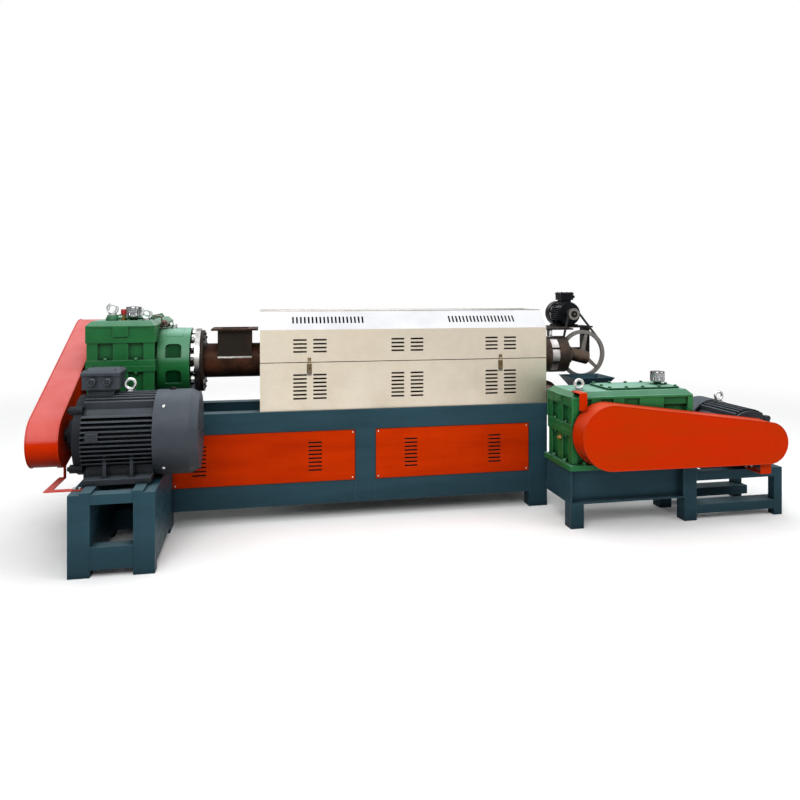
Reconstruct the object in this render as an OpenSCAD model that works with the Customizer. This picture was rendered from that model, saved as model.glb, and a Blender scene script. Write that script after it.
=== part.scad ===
// Two-stage plastic recycling granulator. A long frame carries the barrel under its vented cover,
// with the gearbox and belt drive at the left end and the screen changer and spout at the right.
// A second gearbox and motor stand in front of the right end and drive the second barrel.
// x runs along the first barrel, y from front to back and z up. Places are worked out from the
// right end and the front of the main frame, and each piece is shifted to the floor plan's middle.

/* [Main frame] */
// Depth of the frame, front to back
base_depth = 600; // [580:5:660]
// Height of the frame's top
base_h = 750; // [720:5:800]
// Width of a post along the frame
post_w = 140; // [110:5:150]
// Depth of a post, front to back
post_d = 100; // [80:5:120]
// Height of the top rail
top_rail_h = 137; // [110:1:160]
// Height of the bottom rail above the floor
low_rail_z = 110; // [90:5:130]
// Height of the bottom rail
low_rail_h = 150; // [120:5:170]
// Length of the frame past the gearbox
base_over = 11; // [5:1:14]
// Width of the bed that carries the back of the gearbox
bed_post_w = 90; // [70:5:100]

/* [Side panels] */
// Thickness of the painted side panels
panel_t = 6; // [3:1:10]
// Setback of the panels behind the frame's faces
panel_recess = 3; // [1:1:8]
// Length of a panel's vent slot
panel_slot_w = 92; // [70:1:110]
// Height of a panel's vent slot
panel_slot_h = 11; // [6:1:13]
// Spacing of a panel's vent slots
panel_slot_pitch = 27; // [24:1:30]
// Number of slots in one vent group of a panel
panel_slots = 8; // [4:1:9]

/* [Barrel cover] */
// Length of the cover along the barrel
cover_len = 2068; // [1900:4:2200]
// Depth of the cover, front to back
cover_depth = 570; // [550:2:578]
// Sheet thickness of the cover
cover_t = 4; // [3:0.5:6]
// Height of the lid's upright sides
lid_side_h = 222; // [200:2:250]
// Setback and rise of the lid's sloping edges
lid_slope = 127; // [100:1:150]
// Gap between the lid and the lower cover
split_gap = 5; // [5:0.5:8]
// Length of a cover vent slot
vent_w = 92; // [70:1:105]
// Height of a cover vent slot
vent_h = 12; // [6:1:14]
// Spacing of the cover's vent slots
vent_pitch = 27; // [24:1:30]
// Rows of slots in the lower cover
vent_rows_low = 7; // [4:1:8]
// Rows of slots in the lid's front
vent_rows_lid = 4; // [2:1:6]
// Upright slots in each group on the lid's slope
slope_slots = 19; // [10:1:20]
// Length of a slot on the lid's slope
slope_slot_len = 62; // [40:1:80]
// Width of a hinge knuckle row
hinge_w = 110; // [90:2:140]
// Radius of a hinge knuckle
knuckle_r = 9; // [7:0.5:11]
// Radius of a hinge pin
hinge_pin_r = 4; // [3:0.5:5]

/* [Barrel] */
// Height of the barrel axis above the frame
axis_h = 332; // [310:2:350]
// Length of the bare feed barrel
feed_len = 382; // [360:2:420]
// Radius of the feed barrel
feed_r = 120; // [105:1:125]
// Radius of the barrel under the cover
barrel_r = 95; // [85:1:100]
// Radius of the barrel's bore
bore_r = 72; // [60:1:76]
// Thickness of a heater band
band_t = 34; // [20:1:40]
// Length of a heater band
band_w = 170; // [140:2:190]
// Number of heater bands
bands = 9; // [6:1:9]
// Width of the feed throat
throat_w = 233; // [210:1:250]
// Wall of the feed throat
throat_wall = 26; // [18:1:32]
// Height of the feed throat above the barrel axis
throat_h = 216; // [190:2:240]
// Thickness of the feed throat's top flange
throat_flange_t = 12; // [8:1:16]
// Overhang of the feed throat's top flange
throat_flange_over = 42; // [34:1:50]
// Radius of the bolt holes in the throat flange
throat_hole_r = 7; // [5:0.5:9]
// Root radius of the screw
screw_root_r = 44; // [36:1:50]
// Pitch of the screw flight
screw_pitch = 130; // [110:2:150]

/* [Thrust housing] */
// Radius of the thrust housing
drum_r = 233; // [220:1:240]
// Length of the thrust housing
drum_len = 209; // [190:1:230]
// Radius of the spigot between the housing and the flange
spigot_r = 165; // [150:1:175]
// Length of the bolt gap
bolt_gap = 31; // [24:1:40]
// Radius of the bare steel flange
flange_r = 226; // [210:1:232]
// Thickness of the bare steel flange
flange_t = 33; // [25:1:40]
// Radius of the feed barrel's own flange
feed_flange_r = 214; // [190:1:220]
// Thickness of the feed barrel's own flange
feed_flange_t = 22; // [16:1:28]
// Windows around the thrust housing
drum_windows = 8; // [6:2:8]

/* [First gearbox] */
// Width of the gearbox along the barrel
gb_w = 429; // [400:1:460]
// Length of the gearbox, front to back
gb_len = 950; // [900:5:1000]
// Height of the gearbox above its split
gb_up_h = 293; // [280:1:310]
// Distance of the input shaft behind the frame's front
gb_input_y = 720; // [690:5:740]
// Distance of the barrel axis behind the frame's front
gb_output_y = 300; // [290:1:310]
// Thickness of the input bearing cover
gb_boss_t = 27; // [20:1:40]

/* [Second gearbox] */
// Length of the second gearbox
gb2_len = 884; // [850:2:920]
// Depth of the second gearbox
gb2_w = 390; // [370:2:410]
// Height of the second gearbox below its split
gb2_low_h = 259; // [240:1:280]
// Height of the second gearbox above its split
gb2_up_h = 255; // [235:1:270]
// Place of the input shaft from the left end
gb2_input_x = 205; // [190:1:230]
// Place of the output shaft from the left end
gb2_output_x = 510; // [480:1:540]
// Thickness of the second input bearing cover
gb2_boss_t = 30; // [20:1:40]

/* [Gearbox castings] */
// Depth of the pockets in the casting's sides
pocket_d = 26; // [18:1:32]
// Overhang of the casting's foot
foot_over = 18; // [10:1:26]
// Height of the casting's foot
foot_h = 34; // [26:1:40]
// Height of each half's split flange
split_flange_h = 38; // [30:1:44]
// Height of the first casting's top band
top_band_h = 142; // [130:1:150]
// Height of the second casting's top band
top_band2_h = 97; // [80:1:110]
// Bevel round the casting's top
top_bevel = 30; // [20:1:40]

/* [First motor] */
// Height of the first motor's shaft above its feet
m1_h = 250; // [240:1:260]
// Radius over the first motor's fins
m1_fin_r = 250; // [240:1:252]
// Radius of the first motor's shell under its fins
m1_core_r = 216; // [210:1:220]
// Length of the first motor's finned shell
m1_body_len = 388; // [370:2:410]
// Length of the first motor's fan cowl
m1_cowl_len = 252; // [240:1:270]
// Radius of the first motor's fan cowl
m1_cowl_r = 255; // [253:1:262]
// Length of the first motor's drive end shield
m1_shield_len = 104; // [90:1:115]
// Radius of the first motor's shaft
m1_shaft_r = 37; // [30:1:40]
// Gap between the first motor and its belt guard
m1_gap = 33; // [20:1:40]
// Distance of the first motor's axis in front of the frame
m1_front = 350; // [340:2:380]

/* [First motor stand] */
// Height of the first motor's stand
stand_h = 455; // [430:5:480]
// Width of the first motor's stand
stand_w = 456; // [440:2:480]
// Depth of the first motor's stand
stand_depth = 730; // [700:5:760]
// Width of the stand's posts
stand_post_w = 115; // [90:1:120]
// Depth of the stand's posts
stand_post_d = 80; // [60:1:100]
// Height of the stand's top rails
stand_rail_h = 55; // [40:1:70]
// Height of the motor's slide rails
slide_h = 12; // [8:1:20]

/* [First belt guard] */
// Thickness of the first belt guard
guard_t = 176; // [150:1:190]
// Radius of the guard's motor end
guard_small_r = 157; // [145:1:165]
// Radius of the guard's gearbox end
guard_big_r = 280; // [260:1:290]
// Drop of the guard's motor end below the shaft
guard_drop = 27; // [15:1:35]

/* [Second motor] */
// Height of the second motor's shaft above its feet
m2_h = 200; // [195:1:210]
// Radius over the second motor's fins
m2_fin_r = 197; // [190:1:199]
// Radius of the second motor's shell under its fins
m2_core_r = 170; // [166:1:174]
// Length of the second motor's finned shell
m2_body_len = 395; // [370:1:420]
// Length of the second motor's fan cowl
m2_cowl_len = 225; // [200:1:240]
// Radius of the second motor's fan cowl
m2_cowl_r = 204; // [200:1:208]
// Length of the second motor's drive end shield
m2_shield_len = 40; // [30:1:50]
// Radius of the second motor's shaft
m2_shaft_r = 30; // [24:1:32]
// Gap between the second motor and its belt guard
m2_gap = 12; // [6:1:20]
// Distance from the second input shaft to the second motor
m2_centres = 1140; // [1100:2:1180]

/* [Second stage stand] */
// Distance of the second stand in front of the main frame
stage2_front = 520; // [500:2:560]
// Overlap of the second stand past the main frame's end
stage2_left = 56; // [40:1:70]
// Height of the gearbox stand
beam_top = 386; // [370:1:400]
// Height of the gearbox stand's beams
beam_h = 226; // [200:1:240]
// Length of the gearbox stand
beam_len = 926; // [910:2:960]
// Depth of the gearbox stand
beam_depth = 390; // [380:2:420]
// Width of the beams' flanges
beam_flange = 60; // [45:1:75]
// Plate thickness of the beams
beam_t = 10; // [7:0.5:14]
// Width of the gearbox stand's legs
leg_w = 92; // [70:1:110]
// Length of the second motor's stand
m2_stand_len = 670; // [650:2:690]
// Depth of the second motor's stand
m2_stand_depth = 480; // [460:2:500]
// Height of the second motor's stand
m2_stand_h = 333; // [320:1:345]
// Bar size of the second motor's stand
m2_bar = 62; // [50:1:70]
// Height of the lower rails above the floor
m2_low_z = 45; // [30:1:60]
// Height of the second motor's slide rails
m2_slide_h = 16; // [8:1:20]

/* [Second belt guard] */
// Thickness of the second belt guard
guard2_t = 152; // [130:1:170]
// Radius of the guard's gearbox end
guard2_big_r = 209; // [195:1:215]
// Radius of the guard's motor end
guard2_small_r = 138; // [125:1:145]

/* [Screen changer] */
// Radius of the die head's rings
head_r = 140; // [128:1:150]
// Gap between the cover and the die head
head_gap = 30; // [20:1:40]
// Length of the die head's first ring
head_len = 90; // [75:1:105]
// Thickness of the polished screen plate
screen_t = 60; // [45:1:70]
// Length of the die head's front flange
head_flange_len = 84; // [70:1:95]
// Radius of the discharge spout
spout_r = 50; // [42:1:56]
// Length of the tilted spout
spout_len = 150; // [130:1:170]
// Tilt of the spout below level
spout_tilt = 14; // [8:1:20]
// Distance of the hand wheel's plane behind the barrel axis
wheel_back = 200; // [190:1:215]
// Place of the wheel's axis past the frame's end
wheel_x = 522; // [510:1:535]
// Drop of the wheel's axis below the barrel axis
wheel_drop = 21; // [10:1:30]
// Radius of the wheel
wheel_r = 193; // [180:1:200]
// Width of the wheel's rim
wheel_w = 28; // [24:1:34]
// Radius of the wheel's hub
wheel_hub_r = 36; // [30:1:42]
// Radius of the wheel's shaft
wheel_shaft_r = 15; // [12:0.5:18]
// Radius of the changer motor's pulley
pulley_r = 48; // [44:1:54]
// Width of the belt
belt_w = 13; // [10:0.5:14]
// Thickness of the belt
belt_t = 9; // [7:0.5:10]
// Place of the changer motor's axis past the frame's end
m3_x = 447; // [435:1:460]
// Height of the motor plate above the barrel axis
plate_up = 201; // [190:1:215]
// Thickness of the motor plate
plate_t = 12; // [8:1:16]

/* [Changer motor] */
// Height of the changer motor's shaft above its feet
m3_h = 102; // [100:1:110]
// Radius over the changer motor's fins
m3_fin_r = 100; // [95:1:100]
// Radius of the changer motor's shell under its fins
m3_core_r = 86; // [83:1:88]
// Length of the changer motor's finned shell
m3_body_len = 170; // [150:1:190]
// Length of the changer motor's fan cowl
m3_cowl_len = 95; // [80:1:110]
// Length of the changer motor's end shield
m3_shield_len = 30; // [24:1:40]
// Radius of the changer motor's shaft
m3_shaft_r = 14; // [12:0.5:16]

/* [Second barrel] */
// Length of the second barrel
barrel2_len = 1240; // [1180:5:1300]
// Radius of the second barrel
barrel2_r = 88; // [80:1:95]
// Drop from the spout's lip to the hopper's mouth
spout_drop = 95; // [60:1:110]
// Half width of the hopper's mouth
hopper_half = 170; // [150:1:180]
// Wall of the hopper
hopper_wall = 6; // [4:0.5:10]

/* [Hidden] */
$fn = 96;

// Overrun of every cut, clearance of running pins, and the seat left between curved faces
cut = 20;
run_gap = 0.3;
seat_gap = 0.3;
arc_steps = 40;

frame_paint = [0.16, 0.26, 0.31];
panel_paint = [0.67, 0.17, 0.03];
guard_paint = [0.78, 0.19, 0.04];
gear_paint = [0.12, 0.42, 0.23];
motor_paint = [0.20, 0.22, 0.25];
sheet_steel = [0.80, 0.78, 0.73];
bare_steel = [0.62, 0.61, 0.58];
rusty_iron = [0.26, 0.16, 0.11];
zinc = [0.80, 0.81, 0.80];
black_rubber = [0.05, 0.05, 0.05];
cast_grey = [0.45, 0.44, 0.42];

// Places along the barrel, from the cover's left end to the drive
cover_lap = 2 * cover_t;
cover_x0 = -cover_len;
feed_x1 = cover_x0 + cover_lap;
feed_x0 = cover_x0 - feed_len;
ring_x0 = feed_x0 - feed_flange_t;
flange_x0 = ring_x0 - flange_t;
drum_x1 = flange_x0 - bolt_gap;
drum_x0 = drum_x1 - drum_len;
gb_x0 = drum_x0 - gb_w;
guard_x1 = gb_x0 - gb_boss_t;
guard_x0 = guard_x1 - guard_t;
base_x0 = gb_x0 - base_over;
base_len = -base_x0;
axis_z = base_h + axis_h;
axis_y = gb_output_y;

// Posts of the main frame, their clear bays shared out along it
post_shares = [0, 0.1015, 0.567, 1];
post_x = [for (i = [0:3]) base_x0 + i * post_w + round(post_shares[i] * (base_len - 4 * post_w))];
post_foot = [0, 0, low_rail_z, 0];
rail_z = base_h - top_rail_h;
low_rail_top = low_rail_z + low_rail_h;
cross_set = post_w / 7;
left_bay = [post_x[1] + post_w, post_x[2]];
right_bay = [post_x[2] + post_w, post_x[3]];
left_vent_shares = [0.141, 0.772];
right_vent_shares = [0.224, 0.768];

// Cover and lid
cover_y0 = (base_depth - cover_depth) / 2;
cover_y1 = cover_y0 + cover_depth;
low_top = axis_z - split_gap / 2;
lid_z0 = axis_z + split_gap / 2;
lid_z1 = lid_z0 + lid_side_h;
lid_z2 = lid_z1 + lid_slope;
axis_mid = (cover_y0 + cover_y1) / 2;
mitre_angle = 22.5;
mitre = cover_t * tan(mitre_angle);
vent_shares = [0.130, 0.196, 0.461, 0.528, 0.796, 0.864];
slope_vent_shares = [0.226, 0.768];
notch_r = feed_r + 2 * split_gap;
hinge_shares = [0.12, 0.5, 0.88];
leaf_t = cover_t;
hinge_y = cover_y1 + knuckle_r + leaf_t;
knuckle_w = hinge_w / 3;
knuckle_gap = 1;
latch_shares = [0.161, 0.829];
latch_w = 34;
latch_drop = 86;
latch_t = 9;
latch_rod_r = 4;
keeper_h = 28;

// Barrel
throat_share = 0.548;
throat_x = feed_x0 + throat_share * feed_len;
throat_top = axis_z + throat_h;
throat_inner = throat_w - 2 * throat_wall;
throat_hole_set = throat_flange_over / 2;
throat_hole_half = throat_w / 2 + throat_hole_set;
barrel_x1 = head_gap;
band_span = cover_len - 2 * band_w;
flight_t = screw_pitch / 8;
flight_gap = 2;
flight_r = bore_r - flight_gap;
screw_len = feed_x1 - feed_x0;

// Gearboxes and belt guards
gb_low_h = axis_h;
gb_input_z = axis_z;
gb_boss_r = gb_w / 4;
side_rib_shares = [[0, 0.05], [0.155, 0.232], [0.335, 0.422], [0.549, 0.752], [0.956, 1]];
end_rib_shares = [[0, 0.17], [0.39, 0.61], [0.83, 1]];
boss_shares = [0.39, 0.61];
rib_set = pocket_d / 4;
band_lip = 5;
lid_plate_t = 14;
cap_set = 60;
breather_r = 44;
breather_share = 0.62;
breather2_share = 0.84;
eye_r = 34;
eye_pad_h = 36;
gb_top = axis_z + gb_up_h;
gb2_set = foot_over / 3;
window_w_share = 0.42;
window_len_share = 0.5;
window_corner_share = 0.3;
m1_z = stand_h + slide_h + m1_h;
guard_small = [-m1_front, m1_z - guard_drop];
guard_big = [gb_input_y, gb_input_z];
gb2_x0 = -stage2_left + gb2_set;
gb2_input_place = gb2_x0 + gb2_input_x;
gb2_y0 = -stage2_front;
gb2_y1 = gb2_y0 + gb2_w;
gb2_axis_z = beam_top + gb2_low_h;
gb2_boss_r = gb2_w / 5;
guard2_y1 = gb2_y0 - gb2_boss_t;
guard2_y0 = guard2_y1 - guard2_t;
m2_x = gb2_input_place + m2_centres;
m2_z = m2_stand_h + m2_slide_h + m2_h;
guard2_big = [gb2_input_place, gb2_axis_z - foot_over];
guard2_small = [m2_x, m2_z];
gb2_top = gb2_axis_z + gb2_up_h;
strap_t = 6;
strap_w = 40;

// Angle that a motor's fins take up to each side of a quarter, and shares of its shaft height, its
// shell's radius and its length that its feet, webs, pads and end shield follow
fin_spread = 43;
foot_reach_share = 0.95;
feet_shares = [0.19, 0.99];
saddle_share = 0.6;
saddle_top_share = 0.75;
web_reach_share = 0.84;
web_top_share = 0.42;
web_shares = [0.3, 0.7];
pad_share = 0.4;
cowl_slot_shares = [0.3, 0.72];
shield_hub_share = 2.4;
shield_root_share = 2.8;
shield_web_share = 0.8;
shield_rim_share = 0.94;
box_foot_share = 0.38;
box_lid_share = 0.24;
gland_share = 0.16;
gland_place_shares = [-0.2, 0.22];

// First motor and stand
m1_shield_x0 = guard_x1 + m1_gap;
m1_body_x0 = m1_shield_x0 + m1_shield_len;
m1_cowl_x0 = m1_body_x0 + m1_body_len;
m1_feet_shares = [0.035, 0.98];
m1_pad_shares = [0.02, 0.39];
m1_pad = m1_pad_shares * m1_body_len;
m1_eye_share = 0.588;
m1_box_w = 202;
m1_box_d = 210;
m1_box_h = 132;
box_seat = m1_h / 32;
m1_feet_x = m1_body_x0 + (m1_feet_shares[0] + m1_feet_shares[1]) / 2 * m1_body_len;
stand_x0 = m1_feet_x - stand_w / 2;
stand_x1 = stand_x0 + stand_w;
stand_low_z = 42;
stand_low_h = 124;
side_plate_t = 6;
slide_w = 60;

// Second stage
stage2_x0 = -stage2_left;
beam_x1 = stage2_x0 + beam_len;
beam_y0 = -stage2_front;
beam_y1 = beam_y0 + beam_depth;
beam_z0 = beam_top - beam_h;
m2_stand_x1 = beam_x1 + m2_stand_len;
m2_stand_y1 = beam_y0 + m2_stand_depth;
m2_shield_y0 = guard2_y1 + m2_gap;
m2_body_y0 = m2_shield_y0 + m2_shield_len;
m2_cowl_y0 = m2_body_y0 + m2_body_len;
m2_feet_y = m2_body_y0 + (feet_shares[0] + feet_shares[1]) / 2 * m2_body_len;
barrel2_x = gb2_x0 + gb2_output_x;
barrel2_z = gb2_axis_z;
m2_eye_share = 0.835;
barrel2_y1 = gb2_y1 + barrel2_len;
neck2_half = 70;
neck2_h = 40;
hopper_y = axis_y;
hopper_z0 = barrel2_z + barrel2_r + neck2_h;
hopper_lip = 20;
hopper_side_share = 0.85;
hopper_foot_half = neck2_half + hopper_lip;
hopper_flange_t = 10;
stand2_set = 200;
stand2_y = barrel2_y1 - stand2_set;
stand2_half = 150;
stand2_bar = 60;
die2_r = 120;
die2_t = 45;

// Die head and screen changer
head_x0 = head_gap;
screen_x0 = head_x0 + head_len;
head_flange_x0 = screen_x0 + screen_t;
spout_x0 = head_flange_x0 + head_flange_len;
spout_root_share = 0.68;
spout_root_r = spout_root_share * head_r;
spout_neck = 66;
spout_collar = 2;
nozzle_share = 0.7;
nozzle_r = nozzle_share * spout_r;
spout_lip_z = axis_z - spout_len * sin(spout_tilt) - spout_r * cos(spout_tilt);
hopper_z1 = spout_lip_z - spout_drop;
wheel_y = axis_y + wheel_back;
wheel_z = axis_z - wheel_drop;
plate_top = axis_z + plate_up;
plate_z = plate_top - plate_t;
m3_z = plate_top + m3_h;
groove_room = 5;
groove_d = belt_t + groove_room;
groove_gap = 0.6;
groove_side = 1;
groove_half = belt_w / 2 + groove_side;
rim_t = 2 * groove_d;
belt_pulley_r = pulley_r - groove_d + groove_gap;
belt_wheel_r = wheel_r - groove_d + groove_gap;
hub_gap = 5;
bracket_arm = 60;
arm_y0 = wheel_y + wheel_w + bracket_arm / 2;
arm_y1 = arm_y0 + bracket_arm;
arm_end = 96;
arm_x1 = wheel_x + arm_end;
arm_plate_t = 16;
arm_half = 44;
arm_seat = 26;
plate_x0 = screen_x0;
plate_x1 = m3_x + 2 * m3_fin_r;
plate_over = 40;
plate_front = axis_y - plate_over;
belt_room = 115;
tongue_x1 = m3_x - belt_room;
post_r = 13;
m3_shield_y0 = arm_y0;
m3_body_y0 = m3_shield_y0 + m3_shield_len;
m3_cowl_y0 = m3_body_y0 + m3_body_len;
cowl_lip = 4;
m3_cowl_r = m3_fin_r + cowl_lip;
m3_pad_shares = [0.2, 0.85];
m3_pad = m3_pad_shares * m3_body_len;
m3_box_w = 110;
m3_box_h = 76;
m3_box_seat = m3_h / 32;
plate_back = m3_cowl_y0;
pulley_hub_share = 0.55;
pulley_hub_r = pulley_hub_share * pulley_r;

// Middle of the floor plan
x_min = guard_x0;
x_max = max(m2_stand_x1, m2_x + guard2_small_r);
y_min = min(-stand_depth, guard2_y0);
y_max = max(barrel2_y1 + die2_t, gb_input_y + guard_big_r, gb_len);
mid_x = (x_min + x_max) / 2;
mid_y = (y_min + y_max) / 2;

// Shared shapes

module on_floor() translate([-mid_x, -mid_y, 0]) children();

module slab(x, y, z) translate([x[0], y[0], z[0]]) cube([x[1] - x[0], y[1] - y[0], z[1] - z[0]]);

// Turns a shape made about z so that its axis runs along x, or along y
module along_x() rotate([0, 90, 0]) children();
module along_y() rotate([-90, 0, 0]) children();

module rod_x(x, y, z, r) translate([x[0], y, z]) along_x() cylinder(h = x[1] - x[0], r = r);
module rod_y(x, y, z, r) translate([x, y[0], z]) along_y() cylinder(h = y[1] - y[0], r = r);

// Extrudes an outline drawn in y and z along x, or one drawn in x and z along y
module prism_x(x) translate([x[0], 0, 0]) rotate([90, 0, 90]) linear_extrude(x[1] - x[0]) children();
module prism_y(y) translate([0, y[1], 0]) rotate([90, 0, 0]) linear_extrude(y[1] - y[0]) children();

function arc(c, r, a0, a1) =
    [for (i = [0:arc_steps]) let (a = a0 + (a1 - a0) * i / arc_steps) c + r * [cos(a), sin(a)]];

// Outline of a belt's run: two circles joined by their outer tangents
function belt_run(c1, r1, c2, r2) =
    let (
        d = c2 - c1,
        lean = atan2(d[1], d[0]),
        wrap = acos((r1 - r2) / norm(d))
    )
    concat(
        arc(c1, r1, lean + wrap, lean + 360 - wrap),
        arc(c2, r2, lean - wrap, lean + wrap)
    );

// Outline of a finned motor shell: straight parallel fins on each of its four sides
function fin_side(core, tip, fins, gap) =
    let (t = gap / 3)
    [for (i = [-fins:fins], s = [[core, -t], [tip, -t], [tip, t], [core, t]])
        let (v = i * gap + s[1] / 2) [sqrt(s[0] * s[0] - v * v), v]];
function quarter(p, q) = [p[0] * cos(q) - p[1] * sin(q), p[0] * sin(q) + p[1] * cos(q)];
function fin_outline(core, tip, fins, gap) =
    [for (q = [0:90:270], p = fin_side(core, tip, fins, gap)) quarter(p, q)];

// Finned shell with its feet and the pad for a terminal box, from its drive face along x
module motor_shell(len, core, tip, h, fins, pad, eye, feet) {
    gap = core * sin(fin_spread) / (fins + 1 / 2);
    foot_t = h / 8;
    foot_half = foot_reach_share * h;
    foot_x = feet * len;
    saddle_half = saddle_share * h;
    web_half = web_reach_share * h;
    web_t = len / 24;
    pad_half = pad_share * core;
    union() {
        prism_x([0, len]) polygon(fin_outline(core, tip, fins, gap));
        slab(foot_x, [-foot_half, foot_half], [-h, foot_t - h]);
        slab(foot_x, [-saddle_half, saddle_half], [-h, -saddle_top_share * core]);
        for (s = web_shares) {
            mid = foot_x[0] + s * (foot_x[1] - foot_x[0]);
            slab([mid - web_t / 2, mid + web_t / 2], [-web_half, web_half], [-h, -web_top_share * core]);
        }
        if (pad[1] > pad[0]) slab(pad, [-pad_half, pad_half], [0, tip + foot_t / 4]);
        if (eye > 0) slab([eye - eye_r, eye + eye_r], [-eye_r, eye_r], [0, tip]);
    }
}

// Fan cowl with its sloping rim and the air slots in its end, from its open end along x
module motor_cowl(len, r) {
    wall = r / 16;
    bevel = len / 5;
    slots = 24;
    along_x() difference() {
        rotate_extrude() polygon([
            [r - wall, 0], [r, 0], [r, len - bevel], [r - bevel / 2, len],
            [0, len], [0, len - wall], [r - bevel / 2 - wall / 2, len - wall], [r - wall, len - bevel]
        ]);
        for (i = [0:slots - 1]) rotate(i * 360 / slots)
            translate([cowl_slot_shares[0] * r, -wall / 4, len - wall - cut])
                cube([(cowl_slot_shares[1] - cowl_slot_shares[0]) * r, wall / 2, wall + 2 * cut]);
    }
}

// Drive end shield with its bearing hub, the shaft stub and the lugs round its rim
module motor_shield(len, r, shaft, reach, lugs) {
    hub = shield_hub_share * shaft;
    root = shield_root_share * shaft;
    web = shield_web_share * r;
    rim = shield_rim_share * r;
    along_x() union() {
        rotate_extrude() polygon([
            [0, -reach], [shaft, -reach], [shaft, 0], [hub, 0], [root, len / 3],
            [web, len / 2], [rim, len / 2 + len / 20], [rim, len], [0, len]
        ]);
        for (i = [1:1:lugs]) rotate((i - 1 / 2) * 360 / lugs)
            translate([rim, 0, len / 3]) cylinder(h = len - len / 3, r = r / 10);
    }
}

// Block whose four upper edges slope in
function bevelled_outline(w, h, bevel) =
    [[0, 0], [w, 0], [w, h - bevel], [w - bevel, h], [bevel, h], [0, h - bevel]];

module bevelled(len, w, h, bevel) intersection() {
    prism_y([0, w]) polygon(bevelled_outline(len, h, bevel));
    prism_x([0, len]) polygon(bevelled_outline(w, h, bevel));
}

// Terminal box on its foot, with a lipped and bevelled lid and two cable glands
module terminal_box(w, d, h) {
    foot_x = box_foot_share * w;
    foot_y = box_foot_share * d;
    lid_h = box_lid_share * h;
    lip = w / 28;
    gland_r = gland_share * h;
    union() {
        slab([-foot_x, foot_x], [-foot_y, foot_y], [0, h / 2]);
        slab([-w / 2, w / 2], [-d / 2, d / 2], [h / 7, h - lid_h]);
        translate([-w / 2 - lip, -d / 2 - lip, h - lid_h])
            bevelled(w + 2 * lip, d + 2 * lip, lid_h, lid_h / 2);
        for (s = gland_place_shares) rod_y(s * w, [-d / 2 - 2 * gland_r, 0], h / 2, gland_r);
    }
}

// Lower casting of a gearbox: foot, pocketed walls and half the split flange
module casting_low(len, w, h) union() {
    slab([-foot_over, len + foot_over], [-foot_over, w + foot_over], [0, foot_h]);
    slab([pocket_d, len - pocket_d], [pocket_d, w - pocket_d], [0, h]);
    slab([0, len], [0, w], [h - split_flange_h, h]);
    casting_ribs(len, w, h - split_flange_h / 2);
}

// Upright ribs left standing on the four walls between the pockets
module casting_ribs(len, w, top) {
    depth = [rib_set, pocket_d + rib_set];
    for (s = side_rib_shares, y = [depth, [w - depth[1], w - depth[0]]])
        slab([max(s[0] * len, rib_set), min(s[1] * len, len - rib_set)], y, [0, top]);
    for (s = end_rib_shares, x = [depth, [len - depth[1], len - depth[0]]])
        slab(x, [max(s[0] * w, rib_set), min(s[1] * w, w - rib_set)], [0, top]);
}

// Upper casting: half the split flange, pocketed walls, and the top band with its lips and bevel
module casting_up(len, w, h, band) {
    roof = h - top_bevel;
    union() {
        slab([0, len], [0, w], [0, split_flange_h]);
        slab([pocket_d, len - pocket_d], [pocket_d, w - pocket_d], [0, roof]);
        casting_ribs(len, w, roof);
        translate([0, 0, h - band]) bevelled(len, w, band, top_bevel);
        slab([-band_lip, len + band_lip], [top_bevel, w - top_bevel], [roof - 2 * band_lip, roof]);
        slab([-2 * band_lip, len + 2 * band_lip], boss_shares * w, [roof - band / 2, roof]);
    }
}

// Lifting eye on its collar, standing in the plane of x and z
module lifting_eye(r) {
    bar = 3 * r / 10;
    union() {
        cylinder(h = bar, r = 4 * r / 5);
        cylinder(h = 2 * bar, r = bar);
        translate([0, 0, bar + r]) along_y() rotate_extrude()
            translate([r - bar / 2, 0]) circle(r = bar, $fn = 24);
    }
}

// Knurled breather cap on its stem
module breather(r) union() {
    cylinder(h = r / 2, r = 3 * r / 5);
    translate([0, 0, r / 2]) cylinder(h = 3 * r / 2, r = r);
}

// Row of slots on a flat sheet, cut straight through along y
module slot_column(x, z, w, h, pitch, rows, y)
    for (i = [0:rows - 1]) {
        mid = z + (i - (rows - 1) / 2) * pitch;
        slab([x - w / 2, x + w / 2], y, [mid - h / 2, mid + h / 2]);
    }

// Main frame

module frame_posts() color(frame_paint) on_floor()
    for (i = [0:3], y = [0, base_depth - post_d])
        slab([post_x[i], post_x[i] + post_w], [y, y + post_d], [post_foot[i], rail_z]);

module frame_top() color(frame_paint) on_floor() union() {
    for (y = [0, base_depth - post_d]) slab([base_x0, 0], [y, y + post_d], [rail_z, base_h]);
    for (x = post_x) slab([x, x + post_w], [0, base_depth], [rail_z, base_h]);
}

module frame_bottom() color(frame_paint) on_floor() {
    for (i = [0:2], y = [0, base_depth - post_d])
        slab([post_x[i] + post_w, post_x[i + 1]], [y, y + post_d], [low_rail_z, low_rail_top]);
    for (x = post_x)
        slab([x + cross_set, x + post_w - cross_set], [post_d, base_depth - post_d],
            [low_rail_z, low_rail_top]);
}

module gearbox_bed() color(frame_paint) on_floor() union() {
    slab([base_x0, drum_x0], [base_depth, gb_len], [rail_z, base_h]);
    for (x = [base_x0, drum_x0 - bed_post_w])
        slab([x, x + bed_post_w], [gb_len - post_d, gb_len], [0, rail_z]);
}

module vent_panel(bay, shares, y) {
    mid = (low_rail_top + rail_z) / 2;
    difference() {
        slab(bay, y, [low_rail_top, rail_z]);
        for (s = shares)
            slot_column(bay[0] + s * (bay[1] - bay[0]), mid, panel_slot_w, panel_slot_h, panel_slot_pitch,
                panel_slots, [y[0] - cut, y[1] + cut]);
    }
}

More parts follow.
